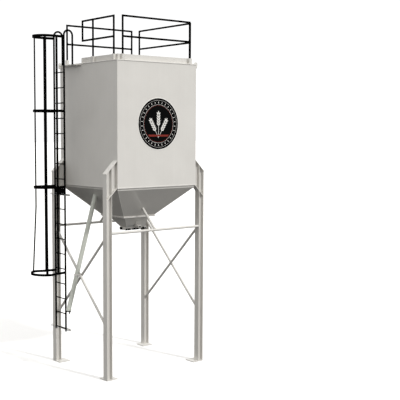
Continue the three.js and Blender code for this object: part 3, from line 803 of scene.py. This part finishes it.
BRACE_CROSS = 1947
brace_end = leg_middle - LEG_WEB / 2
for side, sx in (("left", -1), ("right", 1)):
    for place, way in (("outer", 1), ("inner", -1)):
        x = sx * ((leg_inner + LEG_OUTER) / 2 + way * (TUBE_RADIUS + CLEAR / 2))
        ends = [(x, y, BRACE_CROSS + way * y) for y in (-brace_end, brace_end)]
        add_piece(f"{side}_brace_{place}_tube", [
            swept(ends, tube_section, (1, 0, 0), (0, 1, 0)),
            ring_weld(ends[0], (0, 1, way), TUBE_RADIUS, (0, 1, 0)),
            ring_weld(ends[1], (0, -1, -way), TUBE_RADIUS, (0, 1, 0))],
            grey_enamel, (f"{side}_brace_{place}",))

STAY_X = -30
stay_run = (BEAM_Y - beam_z + hopper_bend - HOPPER_TOP_HALF) / 2
for where, side in (("front", -1), ("rear", 1)):
    foot_at, saddle, top_at = [
        (STAY_X, side * (BEAM_Y - rise), beam_z + rise)
        for rise in (TUBE_RADIUS / 2, TUBE_RADIUS * 0.9, stay_run)]
    add_piece(f"{where}_stay_tube", [
        swept([foot_at, top_at], tube_section, (1, 0, 0)),
        ring_weld(saddle, (0, -side, 1), TUBE_RADIUS, None, 6),
        ring_weld(top_at, (0, side, -1), TUBE_RADIUS)], grey_enamel, (f"{where}_stay",))


# Fill pipe
# Three inch steel pipe in a paler grey-green enamel, welded into the hopper's left plate and
# clamped to the crossing of the left braces. A cast coupling with two cam arms ends it.
pipe_enamel = sprayed_enamel("grey_green_enamel_on_pipe", "pipe_paint", "#c3c5bc", "#bbbdb3", 0.38)
PIPE_RADIUS = 44.5
PIPE_BORE = 40.5
PIPE_SIDES = 48
PIPE_FROM = Vector((-811, 0, 3551))
PIPE_TO = Vector((-1485, 0, 1241))
pipe_down = (PIPE_TO - PIPE_FROM).normalized()
pipe_across = pipe_down.cross(Vector((0, 1, 0)))


def on_pipe(z):
    return PIPE_FROM + (PIPE_TO - PIPE_FROM) * ((PIPE_FROM.z - z) / (PIPE_FROM.z - PIPE_TO.z))


plate_bend = Vector((-HOPPER_TOP_HALF, 0, hopper_bend))
plate_normal = Vector((-1, 0, -1)).normalized()
pipe_start = onto_plane(PIPE_FROM, pipe_down, plate_bend, plate_normal)
pipe_long = (PIPE_TO - pipe_start).length
pipe_shape = turned([
    (PIPE_RADIUS, 0), (PIPE_RADIUS, pipe_long), (PIPE_BORE, pipe_long), (PIPE_BORE, pipe_long - 400),
], pipe_start, pipe_down, PIPE_SIDES)
# The pipe's first ring of points is cut to the slope of the plate
for k in range(PIPE_SIDES):
    pipe_shape[0][k] = tuple(onto_plane(Vector(pipe_shape[0][k]), pipe_down, plate_bend, plate_normal))
add_piece("fill_pipe_tube", [
    pipe_shape, ring_weld(pipe_start, pipe_down, PIPE_RADIUS, plate_normal, 7)], pipe_enamel, ("fill_pipe",))

# Coupling: a grooved collar, and a dust cap that two cam arms on pins hold
collar_at = on_pipe(sum(levels("pipe_coupling")) / 2)
coupling = turned([
    (45, -28), (52, -28), (53.5, -25), (53.5, -12), (50, -9), (50, 4), (53.5, 7), (53.5, 26), (52, 28),
    (45, 28)], collar_at, pipe_down, PIPE_SIDES, True)
add_piece("cast_pipe_coupling", [coupling], pipe_enamel, ("pipe_coupling",), 0.8)
cap_shape = turned([(46, 26), (51, 29), (51, 40), (47, 46), (38, 48)], collar_at, pipe_down, PIPE_SIDES)
add_piece("coupling_dust_cap", [cap_shape], gate_iron, (), 0.8)
cam_arms = []
arm_pins = []
for side in (-1, 1):
    pivot = collar_at + pipe_down * 18 + Vector((0, side * 55, 0))
    tip = pivot + pipe_down * 62 + Vector((0, side * 6, 0))
    cam_arms.append(swept(
        [pivot - pipe_down * 8, pivot + pipe_down * 30, tip], oblong((-9, -4), (9, 4)), (0, 1, 0)))
    arm_pins.append(turned([(5, -12), (5, 7)], pivot, (0, side, 0), 16))
    for lug in (-12, 12):
        lug_at = pivot + pipe_across * lug
        cam_arms.append(box_between(lug_at + Vector((-3, -5, -9)), lug_at + Vector((3, 5, 9))))
add_piece("coupling_cam_arms", cam_arms, gate_iron, (), 1)
add_piece("cam_arm_pins", arm_pins, bolt_zinc)

# Clamp: two half bands round the pipe with ears, bolted, on a block welded to the outer brace
BAND_RADIUS = 51.5
BAND_HALF = 20
EAR_OUT = 64
EAR_REACH = 15
EAR_BOLT_OUT = 68
clamp_at = on_pipe(BRACE_CROSS)
half_bands = turned([
    (PIPE_RADIUS, -BAND_HALF), (BAND_RADIUS, -BAND_HALF), (BAND_RADIUS, BAND_HALF), (PIPE_RADIUS, BAND_HALF),
], clamp_at, pipe_down, PIPE_SIDES, True)
clamp_ears = []
clamp_bolts = []
ear_across = pipe_across.normalized()
for side in (-1, 1):
    for off in (-6, 6):
        middle = clamp_at + Vector((0, side * EAR_OUT, 0)) + ear_across * off
        clamp_ears.append(swept(
            [middle - Vector((0, EAR_REACH, 0)), middle + Vector((0, EAR_REACH, 0))],
            oblong((-BAND_HALF, -3), (BAND_HALF, 3)), ear_across))
    for off in (-9, 9):
        clamp_bolts += bolt(
            clamp_at + Vector((0, side * EAR_BOLT_OUT, 0)) + ear_across * off, ear_across * off, 9)
clamp_side = span("pipe_clamp")[1][0]
block = box_between((clamp_at.x + 40, -28, BRACE_CROSS - 19), (clamp_side, 28, BRACE_CROSS + 19))
add_piece("pipe_clamp_bands", [half_bands, block] + clamp_ears, grey_enamel, ("pipe_clamp",), 0.8)
add_piece("pipe_clamp_bolts", clamp_bolts, bolt_zinc)


# Roof
# Quarter-inch deck inside a rim ring with a sloped outer edge and two lifting lugs, square
# sockets for the handrails with set screws, and toe boards on three sides.
repaint(grey_enamel, "roof_deck", "toe_board_front", "toe_board_left", "toe_board_right")
SOCKET = 29
RAIL_PLANE = 961
RAIL_POST = 841
LEFT_MIDDLE_POST = -150
POSTS = (
    (-RAIL_PLANE, -RAIL_POST), (-RAIL_PLANE, LEFT_MIDDLE_POST), (-RAIL_POST, -RAIL_PLANE),
    (RAIL_POST, -RAIL_PLANE), (RAIL_PLANE, -RAIL_POST), (RAIL_PLANE, RAIL_POST),
    (-RAIL_POST, RAIL_PLANE), (RAIL_POST, RAIL_PLANE))
RIM_THICK = 12
RIM_WIDE = 66
hatch_low, hatch_high = span("roof_hatch")
deck_top = hatch_low[2] - CLEAR
rim_top = wall_top + RIM_THICK
roof_welds = around(bin_half, wall_top, -1, 5) + around(bin_half, rim_top, 1, 5)
socket_screws = []
for x, y in POSTS:
    roof_welds += around(SOCKET, deck_top, 1, 5, 0, (x, y))
    # Two set screws face inward on each socket
    inward = (-math.copysign(1, x), 0, 0) if abs(x) > abs(y) else (0, -math.copysign(1, y), 0)
    for z in (deck_top + 34, deck_top + 78):
        socket_screws += bolt((x + inward[0] * SOCKET, y + inward[1] * SOCKET, z), inward, 8)
# The rim's outer edge is ground to a slope, which catches the light from above
rim_edge = [
    (bin_half - RIM_WIDE, wall_top + CLEAR), (bin_half - RIM_WIDE, rim_top), (bin_half + 4, rim_top),
    (bin_half + 10, wall_top + 2), (bin_half + 10, wall_top + CLEAR)]
rim_shapes = [loft([[(a * half, b * half, z) for a, b in square(1)] for half, z in rim_edge], True)]
LUG_Y = (935, 947)
LUG_Z = (6085, 6205)
LUG_CUT = 14
EYE_RADIUS = 11
lug_out = span("roof_rim")[1][0]
lug_outline = [
    (wall_face, LUG_Z[0]), (lug_out - LUG_CUT, LUG_Z[0]), (lug_out, LUG_Z[0] + 30),
    (lug_out, LUG_Z[1] - LUG_CUT), (lug_out - LUG_CUT, LUG_Z[1]), (bin_half + LUG_CUT, LUG_Z[1]),
    (wall_face, LUG_Z[1] - LUG_CUT)]
lug_eye = circle(lug_out - 26, LUG_Z[1] - 24, EYE_RADIUS, 24)
for sx, sy in ((-1, 1), (1, -1)):
    rim_shapes.append(cut_plate(
        lug_outline, [lug_eye], *LUG_Y, lambda across, up, level: (sx * across, sy * level, up)))
    x = sx * (bin_half + LUG_CUT)
    for y, out in zip(LUG_Y, (-1, 1)):
        roof_welds.append(fillet(
            (x, sy * y, LUG_Z[0]), (x, sy * y, LUG_Z[1] - 60), (sx, 0, 0), (0, sy * out, 0), 5))
add_piece("roof_rim_ring", rim_shapes, grey_enamel, ("roof_rim",))
board = RAIL_PLANE - SOCKET - PLATE
for end, off_board in (((board, -board), (0, 1, 0)), ((-board, 300), (1, 0, 0))):
    roof_welds.append(fillet((-board, -board, deck_top), (*end, deck_top), off_board, UP, 5))
roof_welds.append(fillet((board, -board, deck_top), (board, board, deck_top), (-1, 0, 0), UP, 5))
add_piece("roof_welds", roof_welds, grey_enamel)
add_piece("socket_set_screws", socket_screws, bolt_zinc)


# Roof hatch
# A kerb of flat bar, a rubber seal and a pressed lid with a turned-down lip. The lid lifts on two
# hinges and is held down by two swing bolts.
hatch_half = hatch_high[0]
hatch_top = hatch_high[2]
KERB_HIGH = 24
lid_low = deck_top + KERB_HIGH


def square_ring(half, z, rounding=10):
    """A square of eight points with its corners cut by the rounding."""
    inner = half - rounding
    return [
        (half, -inner, z), (half, inner, z), (inner, half, z), (-inner, half, z),
        (-half, inner, z), (-half, -inner, z), (-inner, -half, z), (inner, -half, z)]


lid = loft([
    square_ring(hatch_half - 4, lid_low), square_ring(hatch_half, lid_low),
    square_ring(hatch_half, lid_low + 26), square_ring(hatch_half - 6, lid_low + 33),
    square_ring(hatch_half - 60, hatch_top - 7), square_ring(hatch_half - 66, hatch_top - 5)])
kerb = cut_plate(square(hatch_half - 18), [square(hatch_half - 30)], deck_top, lid_low + 4)
add_piece("hatch_lid", [lid, kerb], grey_enamel, ("roof_hatch",), 1.5)
seal = cut_plate(square(hatch_half - 10), [square(hatch_half - 34)], lid_low - 6, lid_low)
add_piece("hatch_seal", [seal], gasket_rubber)
HINGE_X = 180
hatch_iron = []
for x in (-HINGE_X, HINGE_X):
    swing = (x, -hatch_half - 12, lid_low + 8)
    hatch_iron += [
        turned([(9, -45), (9, 45)], (x, hatch_half + 10, lid_low + 14), (1, 0, 0), 20),
        box_between((x - 34, hatch_half - 60, lid_low + 33), (x + 34, hatch_half + 4, lid_low + 39)),
        box_between((x - 30, hatch_half + 6, deck_top), (x + 30, hatch_half + 14, lid_low + 14)),
        turned([(6, -24), (6, 30)], swing, UP, 16),
        turned([(15, 26), (15, 36), (6, 42)], swing, UP, 6),
        box_between((x - 16, -hatch_half - 24, deck_top), (x + 16, -hatch_half - 2, deck_top + 12))]
grip = [(-70, 30), (-70, 52), (-58, 64), (58, 64), (70, 52), (70, 30)]
hatch_iron.append(swept([(a, -hatch_half + 90, lid_low + 12 + b * 0.6) for a, b in grip],
                        circle(0, 0, 6, 16), (0, 1, 0)))
add_piece("hatch_hinges_and_latches", hatch_iron, bolt_zinc, (), 0.6)


# Handrails
# Round steel tube, 38 mm across, cut and welded into frames at mitred corners, then enamelled
# black. Each frame drops into its sockets on the deck and can be lifted out.
black_enamel = sprayed_enamel(
    "black_enamel_on_steel_tube", "black_paint", "#010101", "#040404", 0.55, 0.02)
RAIL_RADIUS = 19
RAIL_MID = 6605
LEFT_FAR_POST = 213
rail_section = circle(0, 0, RAIL_RADIUS, 28)
rail_top = levels("handrail_front")[1] - RAIL_RADIUS
post_foot = deck_top + 5


def over_edge(where, along, z):
    """A point of one handrail, from its place along the roof's edge and its height."""
    side = -RAIL_PLANE if where in ("front", "left") else RAIL_PLANE
    return (along, side, z) if where in ("front", "rear") else (side, along, z)


for where in ("front", "right", "rear", "left"):
    near_post = [(-RAIL_POST, post_foot), (-RAIL_POST, rail_top)]
    joints = [((-RAIL_POST + RAIL_RADIUS, RAIL_MID), (1, 0))]
    if where == "left":
        runs = [
            near_post + [(LEFT_FAR_POST, rail_top), (LEFT_FAR_POST, RAIL_MID), (-RAIL_POST, RAIL_MID)],
            [(LEFT_MIDDLE_POST, post_foot), (LEFT_MIDDLE_POST, rail_top)]]
        joints.insert(0, ((LEFT_MIDDLE_POST, rail_top - RAIL_RADIUS), (0, -1)))
    else:
        runs = [
            near_post + [(RAIL_POST, rail_top), (RAIL_POST, post_foot)],
            [(-RAIL_POST, RAIL_MID), (RAIL_POST, RAIL_MID)]]
        joints.append(((RAIL_POST - RAIL_RADIUS, RAIL_MID), (-1, 0)))
    across_rail = (0, 1, 0) if where in ("front", "rear") else (1, 0, 0)
    shapes = [swept([over_edge(where, *point) for point in run], rail_section, across_rail) for run in runs]
    for (a, z), (step_a, step_z) in joints:
        joint = over_edge(where, a, z)
        off_face = Vector(over_edge(where, a + step_a, z + step_z)) - Vector(joint)
        shapes.append(ring_weld(joint, off_face, RAIL_RADIUS, None, 4))
    add_piece(f"handrail_{where}_tube", shapes, black_enamel, (f"handrail_{where}",))


# Ladder
# Two rails of 38 mm tube, each bent over in a hoop at the top and down to the landing plate,
# with eighteen ridged rungs 12 in apart, a bolted splice plate and brackets on the rear leg.
LADDER_X = -1310.5
LADDER_FAR = 726
LADDER_NEAR = 359
RETURN_X = -1110
RETURN_TOP = 6811
RUNG_FIRST = 802
RUNG_PITCH = 304.8
RUNG_COUNT = 18
RUNG_RADIUS = 11
HOOP_STEPS = 16
SPLICE = (3532, 3690)
ladder_foot = levels("ladder")[0]
landing_low, landing_high = span("landing_plate")
hoop_radius = (RETURN_X - LADDER_X) / 2
rail_path = [(LADDER_X, ladder_foot)]
for step in range(HOOP_STEPS + 1):
    a = math.pi * (1 - step / HOOP_STEPS)
    rail_path.append((
        LADDER_X + hoop_radius * (1 + math.cos(a)), RETURN_TOP - hoop_radius + hoop_radius * math.sin(a)))
rail_path.append((RETURN_X, landing_high[2]))
ladder_steel = []
for y in (LADDER_FAR, LADDER_NEAR):
    ladder_steel.append(swept([(x, y, z) for x, z in rail_path], rail_section, (0, 1, 0)))
    ladder_steel.append(ring_weld((RETURN_X, y, landing_high[2]), UP, RAIL_RADIUS))
    ladder_steel.append(turned([(14, -5), (18, -4), (18, 1)], (LADDER_X, y, ladder_foot), UP, 24))
# Rungs: round bar with twelve rolled ridges along it
ridges = []
for k in range(24):
    a = 2 * math.pi * k / 24
    radius = RUNG_RADIUS if k % 2 else RUNG_RADIUS - 1.2
    ridges.append((radius * math.cos(a), radius * math.sin(a)))
for i in range(RUNG_COUNT):
    z = RUNG_FIRST + i * RUNG_PITCH
    ladder_steel.append(swept([(LADDER_X, LADDER_NEAR, z), (LADDER_X, LADDER_FAR, z)], ridges, UP))
    for y, side in ((LADDER_NEAR + RAIL_RADIUS - 1, 1), (LADDER_FAR - RAIL_RADIUS + 1, -1)):
        ladder_steel.append(ring_weld((LADDER_X, y, z), (0, side, 0), RUNG_RADIUS, None, 4))
ladder_steel.append(box_between(
    (LADDER_X - 5, LADDER_NEAR, SPLICE[0]), (LADDER_X + 5, LADDER_FAR, SPLICE[1])))
add_piece("ladder_tube_and_rungs", ladder_steel, black_enamel,
          ("ladder", "ladder_return_far", "ladder_return_near"))

# The landing is punched with rows of slots for grip and drainage, left out beside the rails' feet
SLOT = (34, 56)
SLOT_PITCH = (44, 70)
SLOT_FIRST = (landing_low[0] + 10, landing_low[1] + 13)
FOOT_MARGIN = 28
slots = []
for column in range(3):
    for row in range(8):
        x = SLOT_FIRST[0] + SLOT_PITCH[0] * column
        y = SLOT_FIRST[1] + SLOT_PITCH[1] * row
        near_foot = any(
            abs(y + SLOT[1] / 2 - rail_y) < SLOT[1] / 2 + FOOT_MARGIN for rail_y in (LADDER_FAR, LADDER_NEAR))
        if not (near_foot and column < 2):
            slots.append(oblong((x, y), (x + SLOT[0], y + SLOT[1])))
add_piece("landing_slotted_plate", [
    cut_plate(oblong(landing_low, landing_high), slots, landing_low[2], landing_high[2])],
    grey_enamel, ("landing_plate",))

# Bolts hold the splice plate, and bolts and U-bolts hold the two brackets, which are flat bar
# across the leg with an arm to each rail
repaint(grey_enamel, "ladder_bracket_low", "ladder_bracket_high")
ladder_bolts = []
SPLICE_EDGE = 28
SPLICE_BOLTS = (50, 110, LADDER_FAR - LADDER_NEAR - 110, LADDER_FAR - LADDER_NEAR - 50)
for z in (SPLICE[0] + SPLICE_EDGE, SPLICE[1] - SPLICE_EDGE):
    for y in [LADDER_NEAR + off_rail for off_rail in SPLICE_BOLTS]:
        ladder_bolts += bolt((LADDER_X - 5, y, z), (-1, 0, 0), 10)
u_bolts = []
u_radius = RAIL_RADIUS + 5
for name in ("ladder_bracket_low", "ladder_bracket_high"):
    low, high = span(name)
    z = (low[2] + high[2]) / 2
    bend = [(high[0] + 16, -u_radius)]
    for step in range(13):
        a = math.radians(-90 + 15 * step)
        bend.append((LADDER_X - u_radius * math.cos(a), u_radius * math.sin(a)))
    bend.append((high[0] + 16, u_radius))
    for y in (LADDER_FAR, LADDER_NEAR):
        u_bolts.append(swept([(x, y + across, z) for x, across in bend], circle(0, 0, 4.5, 16), UP))
    for y in (leg_back + 30, LEG_FRONT - 30):
        ladder_bolts += bolt((low[0], y, z), (-1, 0, 0), 12)
add_piece("ladder_u_bolts", u_bolts, bolt_zinc)
add_piece("ladder_bolts", ladder_bolts, bolt_zinc)

# Fillets above and below carry the landing on the left wall
landing_welds = [
    fillet((-bin_half, landing_low[1], z), (-bin_half, landing_high[1], z), (-1, 0, 0), way, 6)
    for z, way in ((landing_low[2], DOWN), (landing_high[2], UP))]
add_piece("landing_welds", landing_welds, grey_enamel)


# Safety cage
# Flat bar rolled to four hoops and riveted to four upright flats inside them, in the same black
# enamel as the ladder. The lowest hoop has a wider bow, so the two outer flats bend out to it.
CAGE_HEIGHTS = (1963, 3698, 5213, 6673)
CAGE_DEPTH = 571
CAGE_FLARE = 75.5
FLARE_TOP = 3300
HOOP_HIGH = 50
CAGE_BAR = 50
CAGE_THICK = 6
CAGE_SIDE_X = 201
CAGE_HALF = 232
FLARE_FROM = 234  # how far out the wider bow starts
BAR_GAP = 1
BOW_MIDDLE = CAGE_DEPTH - CAGE_HALF
BOW_STEPS = 32
OUTER_BAR_TURN = 11 * math.pi / BOW_STEPS
ladder_middle = (LADDER_FAR + LADDER_NEAR) / 2
rail_side = (LADDER_FAR - LADDER_NEAR) / 2 + RAIL_RADIUS
EASED_CORNER = 1.4


def flat_section(thick, wide):
    """A rolled flat with eased edges, thick across the path and wide along its up direction."""
    a = thick / 2
    b = wide / 2
    cut = EASED_CORNER
    return [
        (-a, cut - b), (cut - a, -b), (a - cut, -b), (a, cut - b),
        (a, b - cut), (a - cut, b), (cut - a, b), (-a, b - cut)]


def rivet(at, along):
    return turned([(9, -1), (9, 2), (7, 5), (4, 6.6), (0.5, 7)], at, along, 20)


def outward(side):
    """The way that an outer flat faces."""
    return Vector((-math.cos(OUTER_BAR_TURN), side * math.sin(OUTER_BAR_TURN), 0))


def on_bow(side, radius, z):
    return Vector((LADDER_X - BOW_MIDDLE, ladder_middle, z)) + outward(side) * radius


rivets = []
for hoop, z in enumerate(CAGE_HEIGHTS):
    flare = CAGE_FLARE if hoop == 0 else 0
    middle = CAGE_THICK / 2
    bend = CAGE_HALF + middle
    half_path = [(0, rail_side + middle), (CAGE_SIDE_X - CAGE_BAR, bend)]
    if flare:
        half_path.append((FLARE_FROM, bend))
    hoop_path = [(out, -side) for out, side in half_path]
    skipped = 2 if flare else 0
    for step in range(skipped, BOW_STEPS + 1 - skipped):
        a = math.pi * (step / BOW_STEPS - 0.5)
        hoop_path.append((BOW_MIDDLE + (bend + flare) * math.cos(a), (bend + flare) * math.sin(a)))
    hoop_path += reversed(half_path)
    add_piece(f"cage_hoop_{hoop + 1}_flat", [swept(
        [(LADDER_X - out, ladder_middle + side, z) for out, side in hoop_path],
        flat_section(CAGE_THICK, HOOP_HIGH), UP)], black_enamel, (f"cage_hoop_{hoop + 1}",))
    for side in (-1, 1):
        for out, across in ((CAGE_SIDE_X, CAGE_HALF + CAGE_THICK), (10, rail_side + CAGE_THICK + 1)):
            rivets.append(rivet((LADDER_X - out, ladder_middle + side * across, z), (0, side, 0)))
        rivets.append(rivet(on_bow(side, CAGE_HALF + flare + CAGE_THICK, z), outward(side)))

bar_bottom, bar_top = levels("cage_bar_near")
upright_flat = flat_section(CAGE_THICK, CAGE_BAR)
bow_flat = math.cos(math.pi / BOW_STEPS)
outer_radius = CAGE_HALF * bow_flat - BAR_GAP - CAGE_THICK / 2
outer_low = outer_radius + CAGE_FLARE * bow_flat
outer_path = [
    (outer_low, bar_bottom), (outer_low, CAGE_HEIGHTS[0] + HOOP_HIGH / 2),
    (outer_radius, FLARE_TOP), (outer_radius, bar_top)]
for end, side in (("far", 1), ("near", -1)):
    y = ladder_middle + side * (CAGE_HALF - CAGE_THICK / 2)
    x = LADDER_X - CAGE_SIDE_X
    straight = swept([(x, y, bar_bottom), (x, y, bar_top)], upright_flat, (1, 0, 0))
    add_piece(f"cage_bar_{end}_flat", [straight], black_enamel, (f"cage_bar_{end}",))
    bent = swept([on_bow(side, radius, z) for radius, z in outer_path], upright_flat, outward(side).cross(UP))
    add_piece(f"cage_bar_outer_{end}_flat", [bent], black_enamel, (f"cage_bar_outer_{end}",))
add_piece("cage_rivets", rivets, black_enamel)


# Round sign
# A 3 mm steel disc on the front wall, enamelled white, with black, off-white and dull red inks
# screened on it. The artwork is a plain one of rings, bars and three grain ears.
def screened_ink(name, slot, coat, worn):
    """Screen ink baked on the disc: thin and satin, with faint wear in patches."""
    material, tree, shader = new_material(name, {"Roughness": 0.5, "Specular IOR Level": 0.03})
    place = add_node(tree, "ShaderNodeTexCoord").outputs["Object"]
    # Wear in patches of 40 mm and screen grain of 2 mm
    wear = add_node(tree, "ShaderNodeTexNoise", {"Scale": 1 / 0.04, "Detail": 4, "Roughness": 0.7}, {
        "Vector": place})
    grain = add_node(tree, "ShaderNodeTexNoise", {"Scale": 1 / 0.002, "Detail": 1}, {"Vector": place})
    amount = add_node(tree, "ShaderNodeMapRange", {"From Min": 0.5, "From Max": 0.85}, {"Value": wear})
    tint = add_node(tree, "ShaderNodeMix", {
        "data_type": "RGBA", 6: linear(coat), 7: linear(worn)}, {0: amount})
    relief = add_node(tree, "ShaderNodeBump", {"Strength": 0.3, "Distance": 0.0001}, {"Height": grain})
    link_up(tree, shader, {"Base Color": tint.outputs[2], "Normal": relief})
    return material, slot


sign_low, sign_high = span("round_sign")
SIGN_X = 11
SIGN_RADIUS = 500
SIGN_EDGE = 14
SCREW_CIRCLE = 484
sign_z = (sign_low[2] + sign_high[2]) / 2
sign_face = sign_low[1]
INK = 0.6
DISC_SIDES = 120


def on_sign(layer):
    """Sets a flat shape on the sign's face, in the given ink layer."""
    return lambda across, up, level: (SIGN_X + across, sign_face - layer * INK + level, sign_z + up)


def inked(outline, openings=(), layer=1):
    return cut_plate(outline, openings, 0, INK, on_sign(layer))


def ring(radius, wide, layer=2):
    return inked(circle(0, 0, radius, DISC_SIDES), [circle(0, 0, radius - wide, DISC_SIDES)], layer)


def turned_about(points, degrees):
    a = math.radians(degrees)
    return [(x * math.cos(a) - y * math.sin(a), x * math.sin(a) + y * math.cos(a)) for x, y in points]


def kernel(x, y, lean, long=64, wide=24):
    """A pointed grain, leaning from upright by so many degrees, that starts at a point."""
    half = []
    for step in range(9):
        a = math.pi * step / 8
        half.append((wide / 2 * math.sin(a), long / 2 * (1 - math.cos(a))))
    outline = half + [(-x0, y0) for x0, y0 in reversed(half[1:-1])]
    return [(x + x0, y + y0) for x0, y0 in turned_about(outline, lean)]


white_ink = screened_ink("off_white_screen_ink", "sign_paint", "#e6e4de", "#cfccc4")
black_ink = screened_ink("black_screen_ink", "sign_paint", "#050505", "#0c0c0b")
red_ink = screened_ink("dull_red_screen_ink", "sign_paint", "#7c2f28", "#6b3a33")
disc = cut_plate(
    circle(0, 0, SIGN_RADIUS + SIGN_EDGE, DISC_SIDES), [], 0, sign_high[1] - sign_face, on_sign(0))
add_piece("sign_disc", [disc], white_ink, ("round_sign",))
add_piece("sign_black_field", [inked(circle(0, 0, SIGN_RADIUS, DISC_SIDES))], black_ink)
# Thirty short bars between two thin rings, round three ears on stems that spring from one foot
BAR_COUNT = 30
STEM_FOOT = -270
EAR_LONG = 260
GRAIN_PITCH = 50
GRAIN_SPREAD = 28
white_marks = [ring(462, 3), ring(376, 4)]
for i in range(BAR_COUNT):
    short_bar = turned_about(oblong((-5, 398), (5, 434)), 360 / BAR_COUNT * i)
    white_marks.append(inked(short_bar, (), 2))
for lean, length in ((-30, 420), (0, 500), (30, 420)):
    stem = turned_about(oblong((-4, 0), (4, length - 60)), lean)
    white_marks.append(inked([(x, y + STEM_FOOT) for x, y in stem], (), 2))
    grains = [
        (side * 9, length - EAR_LONG + pair * GRAIN_PITCH, side * GRAIN_SPREAD)
        for pair in range(5) for side in (-1, 1)]
    grains.append((0, length - 40, 0))
    for across, along, spread in grains:
        x, y = turned_about([(across, along)], lean)[0]
        white_marks.append(inked(kernel(x, y + STEM_FOOT, lean - spread), (), 2))
band = inked([(-230, -250), (230, -250), (262, -212), (-262, -212)], (), 3)
add_piece("sign_white_marks", white_marks, white_ink)
add_piece("sign_red_marks", [band, ring(360, 4)], red_ink)
sign_screws = []
for i in range(8):
    x, z = turned_about([(0, SCREW_CIRCLE)], 22.5 + 45 * i)[0]
    sign_screws.append(turned(
        [(8, 0), (8, 2), (5, 4)], (SIGN_X + x, sign_face - INK, sign_z + z), (0, -1, 0), 20))
add_piece("sign_screws", sign_screws, black_ink)


low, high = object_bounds()
